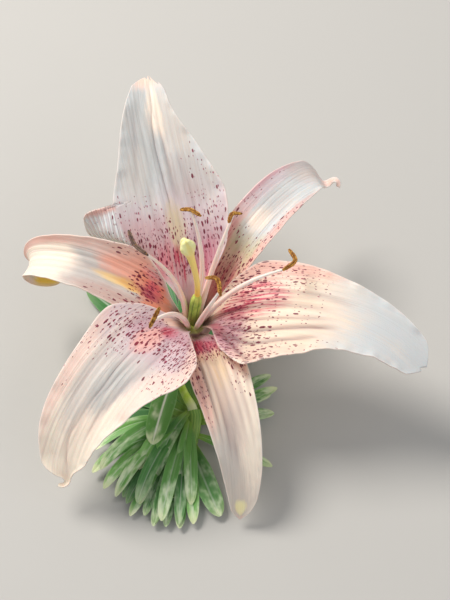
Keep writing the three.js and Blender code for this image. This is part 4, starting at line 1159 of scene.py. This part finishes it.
leaf = {
    "thickness": 0.7,
    "keel": 0.28,
    "rootOut": 1.2,
    "clearance": 0.02,
    "softness": 1.5,
    "layer": 0.85,
    "stagger": [0, 2.4, 0.7],
    "width": {0: 0.35, 0.2: 0.68, 0.5: 1, 0.8: 0.9, 0.92: 0.66, 0.98: 0.34, 1: 0.14},
    "stations": 34,
    "droopPower": 0.8,
    "seed": 7,
    "toneSeed": 23,
    "towards": -95,
    "vary": {"heading": 3, "length": 0.07, "halfWidth": 0.1, "lift": 0.2},
    "sides": 44,
    "flatness": 0.14,
    "veins": 4.0,
    "veinDepth": 0.012,
    "furrow": 0.07,
    "furrowNarrow": 90.0,
    "marginShare": 0.35,  # of the thickness in the middle
    "tones": (0.2, 0.8),  # least, and how much the draw adds
}

tierColumns = (
    "root", "count", "first", "last", "arch", "length", "halfWidth", "lift", "droop", "layer", "tone",
)
# A tone of 0.15 is painted shade, which darkens the leaves that lie behind the bloom.
leafTiers = [
    ((-4, -47, 3.2), 7, -152, -84, 0.8, 29, 2.4, 6, -8, 0, 1),
    ((-3, -40, 3.6), 7, -160, -76, 0.8, 36, 2.5, 18, -16, 2, 1),
    ((-2, -35, 4), 6, -168, -82, 0.8, 38, 2.6, 30, -22, 4, 1),
    ((-1, -32, 4), 3, -140, -90, 0.8, 31, 2.8, 44, -34, 6, 1),
    ((0.5, -34, 2.8), 4, 7, 33, 0, 32, 2.5, 8, -4, 0, 1),
    ((0, -31.5, 1.3), 4, 50, 100, 0, 54, 3.2, 0, 0, 0, 0.15),
    ((-0.6, -33, 1.6), 4, 134, 198, 0, 42, 5, 4, 0, 0, 0.15),
]

leafColumns = ("root", "heading", "bend", "length", "halfWidth", "lift", "droop", "layer", "tone", "midline")
# The leaves with a tone of 0.15 lie behind the bloom, darkened as painted shade.
singleLeaves = [
    ((0, -31.5, 1.3), 112, 31, 72, 5.4, 0, 0, 1, 0.15, 0.25),
    ((-1, -38, 3), -24, 0, 33, 2.3, 8, -6, 1, 1, 0.25),
    ((-1.5, -40, 3), -74, 10, 33, 4.2, 14, -12, 1, 1, 0.25),
    ((-0.5, -31.5, 1.3), 104, -4, 66, 5.2, 0, 0, 1, 0.15, 0.25),
]

# A small leaf halfway up the pedicel, which hangs down over the others
pedicelLeaf = ((-6.6, -14, 10.2), -105, 2, 33, 4.6, 18, -8, 0, 1, 0.9)

leafFinish = {
    "relief": 0.16, "glow": 0.15, "glowTint": (0.6, 1.0, 0.4), "glowReach": 0.8, "gloss": 0.5,
    # pale is the ink of the painted highlights on the leaves
    "green": "#78b556", "dark": "#2f7038", "yellow": "#a9c142", "vein": "#a9d08f", "pale": "#ecf6d2",
    "blue": "#5c9c72", "tip": "#e6edba", "white": "#f2f8ea",
}


def leafList():
    draws = seededDraws(leaf["seed"])
    eitherWay = lambda key: leaf["vary"][key] * (2 * next(draws) - 1)
    leaves = []
    for row in leafTiers:
        tier = dict(zip(tierColumns, row))
        for i in range(tier["count"]):
            share = (i + 0.5) / tier["count"]
            heading = tier["first"] + (tier["last"] - tier["first"]) * share + eitherWay("heading")
            bend = (leaf["towards"] - heading) * tier["arch"]
            root = np.array(tier["root"], float) + np.array(leaf["stagger"]) * (i % 2)
            blade = {**tier, "root": root, "heading": heading - bend / 2, "bend": bend, "midline": 0.25}
            blade["layer"] += i % 2
            for key in ("length", "halfWidth", "lift"):
                blade[key] *= 1 + eitherWay(key)
            leaves.append(blade)
    return leaves + [dict(zip(leafColumns, row)) for row in singleLeaves]


def leafLine(blade):
    slope = lambda s: blade["lift"] + (blade["droop"] - blade["lift"]) * s ** leaf["droopPower"]
    root = np.array(blade["root"], float) + direction(blade["heading"], 0) * leaf["rootOut"]
    onward = lambda s: direction(blade["heading"] + blade["bend"] * s, slope(s))
    line = walk(root, blade["length"], onward)
    lowest = leaf["thickness"] / 2 + leaf["clearance"] + blade["layer"] * leaf["layer"]
    line[:, 2] = lowest + np.log1p(np.exp((line[:, 2] - lowest) * leaf["softness"])) / leaf["softness"]
    s = np.linspace(0, 1, leaf["stations"])
    return pointsAt(line, s), blade["halfWidth"] * trackAt(leaf["width"], s)


def leafProfile(sheet, given, profile, x, y):  # a keeled blade whose veins stand out as fine ridges
    ridges = sheet.maths("COSINE", x * given.other("Veins") * (2 * math.pi))
    flank = abs(x)
    fall = 1.0 - flank * flank
    middle = flank * given.other("Keel") + ridges * fall * given.other("Vein Depth")
    furrow = sheet.maths("EXPONENT", x * x * -leaf["furrowNarrow"]) * given.other("Furrow")
    share = leaf["marginShare"] + (1 - leaf["marginShare"]) * fall
    height = y * given.other("Thickness") * share - middle + furrow
    sockets = {"Geometry": profile, "Position": sheet.place(x, height)}
    return sheet.add("GeometryNodeSetPosition", sockets=sockets)


def leafMaterial():
    paint = Paint("leaf", leafFinish)
    s, q, tone = (paint.mark(mark) for mark in ("along", "across", "tone"))
    flank = abs(q)
    stripes = paint.cloudy(paint.place(s * 1.4, q * 2.4, tone * 30.0), detail=3.0)
    patches = paint.cloudy(paint.place(s * 5.0, q * 1.1, tone * 50.0))
    mottle = paint.cloudy(paint.spot(), 300.0)
    # a lower tone gives darker green: it varies at random from leaf to leaf, and is painted shade on the
    # leaves behind the bloom
    paint.colour = paint.mix(tone, "dark", "green")
    paint.cover(stripes.fade(0.48, 0.68) * (tone * 0.3 + 0.06), "vein")
    paint.cover(patches.fade(0.5, 0.8) * (tone * 0.4 + 0.04), "blue")
    # bloom here is a painted highlight: pale sunlit patches, more of them towards the tip and few on the
    # leaves in painted shade
    bloom = (patches + (mottle - 0.5) * 0.3 + s * 0.45).fade(0.74, 1.1)
    paint.cover(bloom * tone.fade(0.12, 0.4) * 0.8, "pale")
    paint.cover((1.0 - flank.fade(0.03, 0.14)) * paint.mark("midline"), "white")
    paint.cover(flank.fade(0.86, 1.0) * 0.3, "vein")
    paint.cover((s + (mottle - 0.5) * 0.1).fade(0.84, 1.0) * tone, "tip")
    paint.cover((1.0 - s.fade(0.0, 0.3)) * 0.5, "yellow")
    paint.cover((1.0 - paint.mark("upper").fade(-0.4, 0.1)) * 0.5, "blue")
    return paint.close(0.4 + stripes * 0.16, stripes + mottle * 0.2, leafFinish)


def stemMaterial():
    paint = Paint("stem", stem)
    s = paint.mark("along")
    streaks = paint.cloudy(paint.place(s * 4.0, paint.mark("across") * 5.0, paint.mark("upper") * 5.0))
    patches = paint.cloudy(paint.spot(), 300.0)
    paint.colour = paint.mix(streaks.fade(0.35, 0.65), "green", "pale")
    paint.cover(1.0 - s.fade(0.0, 0.004), "cut")
    return paint.close(0.45 + patches * 0.15, streaks, leafFinish)


def onTable(piece):  # what would sink into the table is pressed flat on it
    mesh = piece.data
    spots = np.zeros(len(mesh.vertices) * 3, np.float32)
    mesh.vertices.foreach_get("co", spots)
    spots[2::3] = np.maximum(spots[2::3], 0.0)
    mesh.vertices.foreach_set("co", spots)
    return piece


bladeInputs = {
    "Sides": "Int", "Keel": "Float", "Thickness": "Float", "Veins": "Float", "Vein Depth": "Float",
    "Furrow": "Float", "Material": "Material",
}
bladeValues = {
    "Sides": leaf["sides"], "Keel": leaf["keel"], "Thickness": leaf["flatness"], "Veins": leaf["veins"],
    "Vein Depth": leaf["veinDepth"], "Furrow": leaf["furrow"], "Material": leafMaterial(),
}
bladeTree = sweptTree("keeledBlade", bladeInputs, leafProfile)


def bladesPiece(name, blades, draws):  # leaves in one mesh, each with its own tone
    lines = [leafLine(blade) for blade in blades]
    least, most = leaf["tones"]
    tones = [(least + most * next(draws)) * blade["tone"] for blade in blades]
    marks = {
        "halfWidth": [width * millimetre for _, width in lines],
        "tone": [np.full(leaf["stations"], tone) for tone in tones],
        "midline": [np.full(leaf["stations"], blade["midline"]) for blade in blades],
    }
    return onTable(sweep(name, [line + stemFoot for line, _ in lines], marks, bladeTree, bladeValues))


blades = leafList()
toneDraws = seededDraws(leaf["toneSeed"])
keep(bladesPiece("leaves", blades, toneDraws), "leaf", "leafy_stem")
keep(bladesPiece("pedicel_leaf", [dict(zip(leafColumns, pedicelLeaf))], toneDraws), "leaf", "pedicel")
path = roundedLine(stem["line"], stem["rings"])
marks = {"halfWidth": [np.full(stem["rings"], stem["radius"] * millimetre)]}
values = {"Sides": stem["sides"], "Material": stemMaterial()}
keep(onTable(sweep("stem", [path + stemFoot], marks, rodTree, values)), "leaf", "leafy_stem")
print("lily: stem and", len(blades) + 1, "leaves")


# Table, light and camera

studio = {
    "floorSize": 6.0,
    "floorColour": "#c3c0bb",
    "sky": 0.45,
    "skyTint": (0.93, 0.96, 1.0, 1.0),
    "cameraFromBloom": [12.31, -252.67, 454.56],  # mm, looking down at 60 degrees
    "cameraTilt": 30.0,
    "lens": 81.12,
    "film": 36.0,
}

lamps = {
    "key": {"at": (-0.55, 0.45, 0.95), "size": 0.5, "power": 12.4, "tint": (1.0, 0.97, 0.92)},
    "fill": {"at": (0.9, -0.5, 0.8), "size": 1.2, "power": 3.0, "tint": (1.0, 0.97, 0.95)},
}


def addFloor():
    half = studio["floorSize"] / 2
    corners = [(-half, -half, 0), (half, -half, 0), (half, half, 0), (-half, half, 0)]
    mesh = bpy.data.meshes.new("floor")
    mesh.from_pydata(corners, [], [(0, 1, 2, 3)])
    paint = Paint("table", studio)
    roughness = 0.7 + paint.cloudy(paint.spot(), 60.0) * 0.1
    sockets = {"Base Color": tint(studio["floorColour"]), "Roughness": roughness}
    shader = paint.add("ShaderNodeBsdfPrincipled", sockets=sockets)
    paint.add("ShaderNodeOutputMaterial", sockets={"Surface": shader})
    mesh.materials.append(paint.material)
    newObject("floor", mesh)


def addLamp(name, lamp):
    light = bpy.data.lights.new(name, "AREA")
    light.shape = "DISK"
    light.size, light.energy, light.color = lamp["size"], lamp["power"], lamp["tint"]
    holder = newObject(name, light)
    holder.location = lamp["at"]
    holder.rotation_euler = (-holder.location).to_track_quat("-Z", "Y").to_euler()


def addSky():
    world = bpy.data.worlds.new("softRoom")
    world.use_nodes = True
    background = world.node_tree.nodes["Background"]
    background.inputs["Color"].default_value = studio["skyTint"]
    background.inputs["Strength"].default_value = studio["sky"]
    bpy.context.scene.world = world


def addCamera():
    lens = bpy.data.cameras.new("view")
    lens.sensor_fit = "VERTICAL"
    lens.sensor_height = studio["film"]
    lens.lens = studio["lens"]
    camera = newObject("view", lens)
    camera.location = (bloomCentre + np.array(studio["cameraFromBloom"])) * millimetre
    camera.rotation_euler = (math.radians(studio["cameraTilt"]), 0, 0)
    bpy.context.scene.camera = camera


addFloor()
for lampName, lamp in lamps.items():
    addLamp(lampName, lamp)
addSky()
addCamera()
bpy.context.scene.view_settings.view_transform = "Standard"
print("lily: table, light and camera")
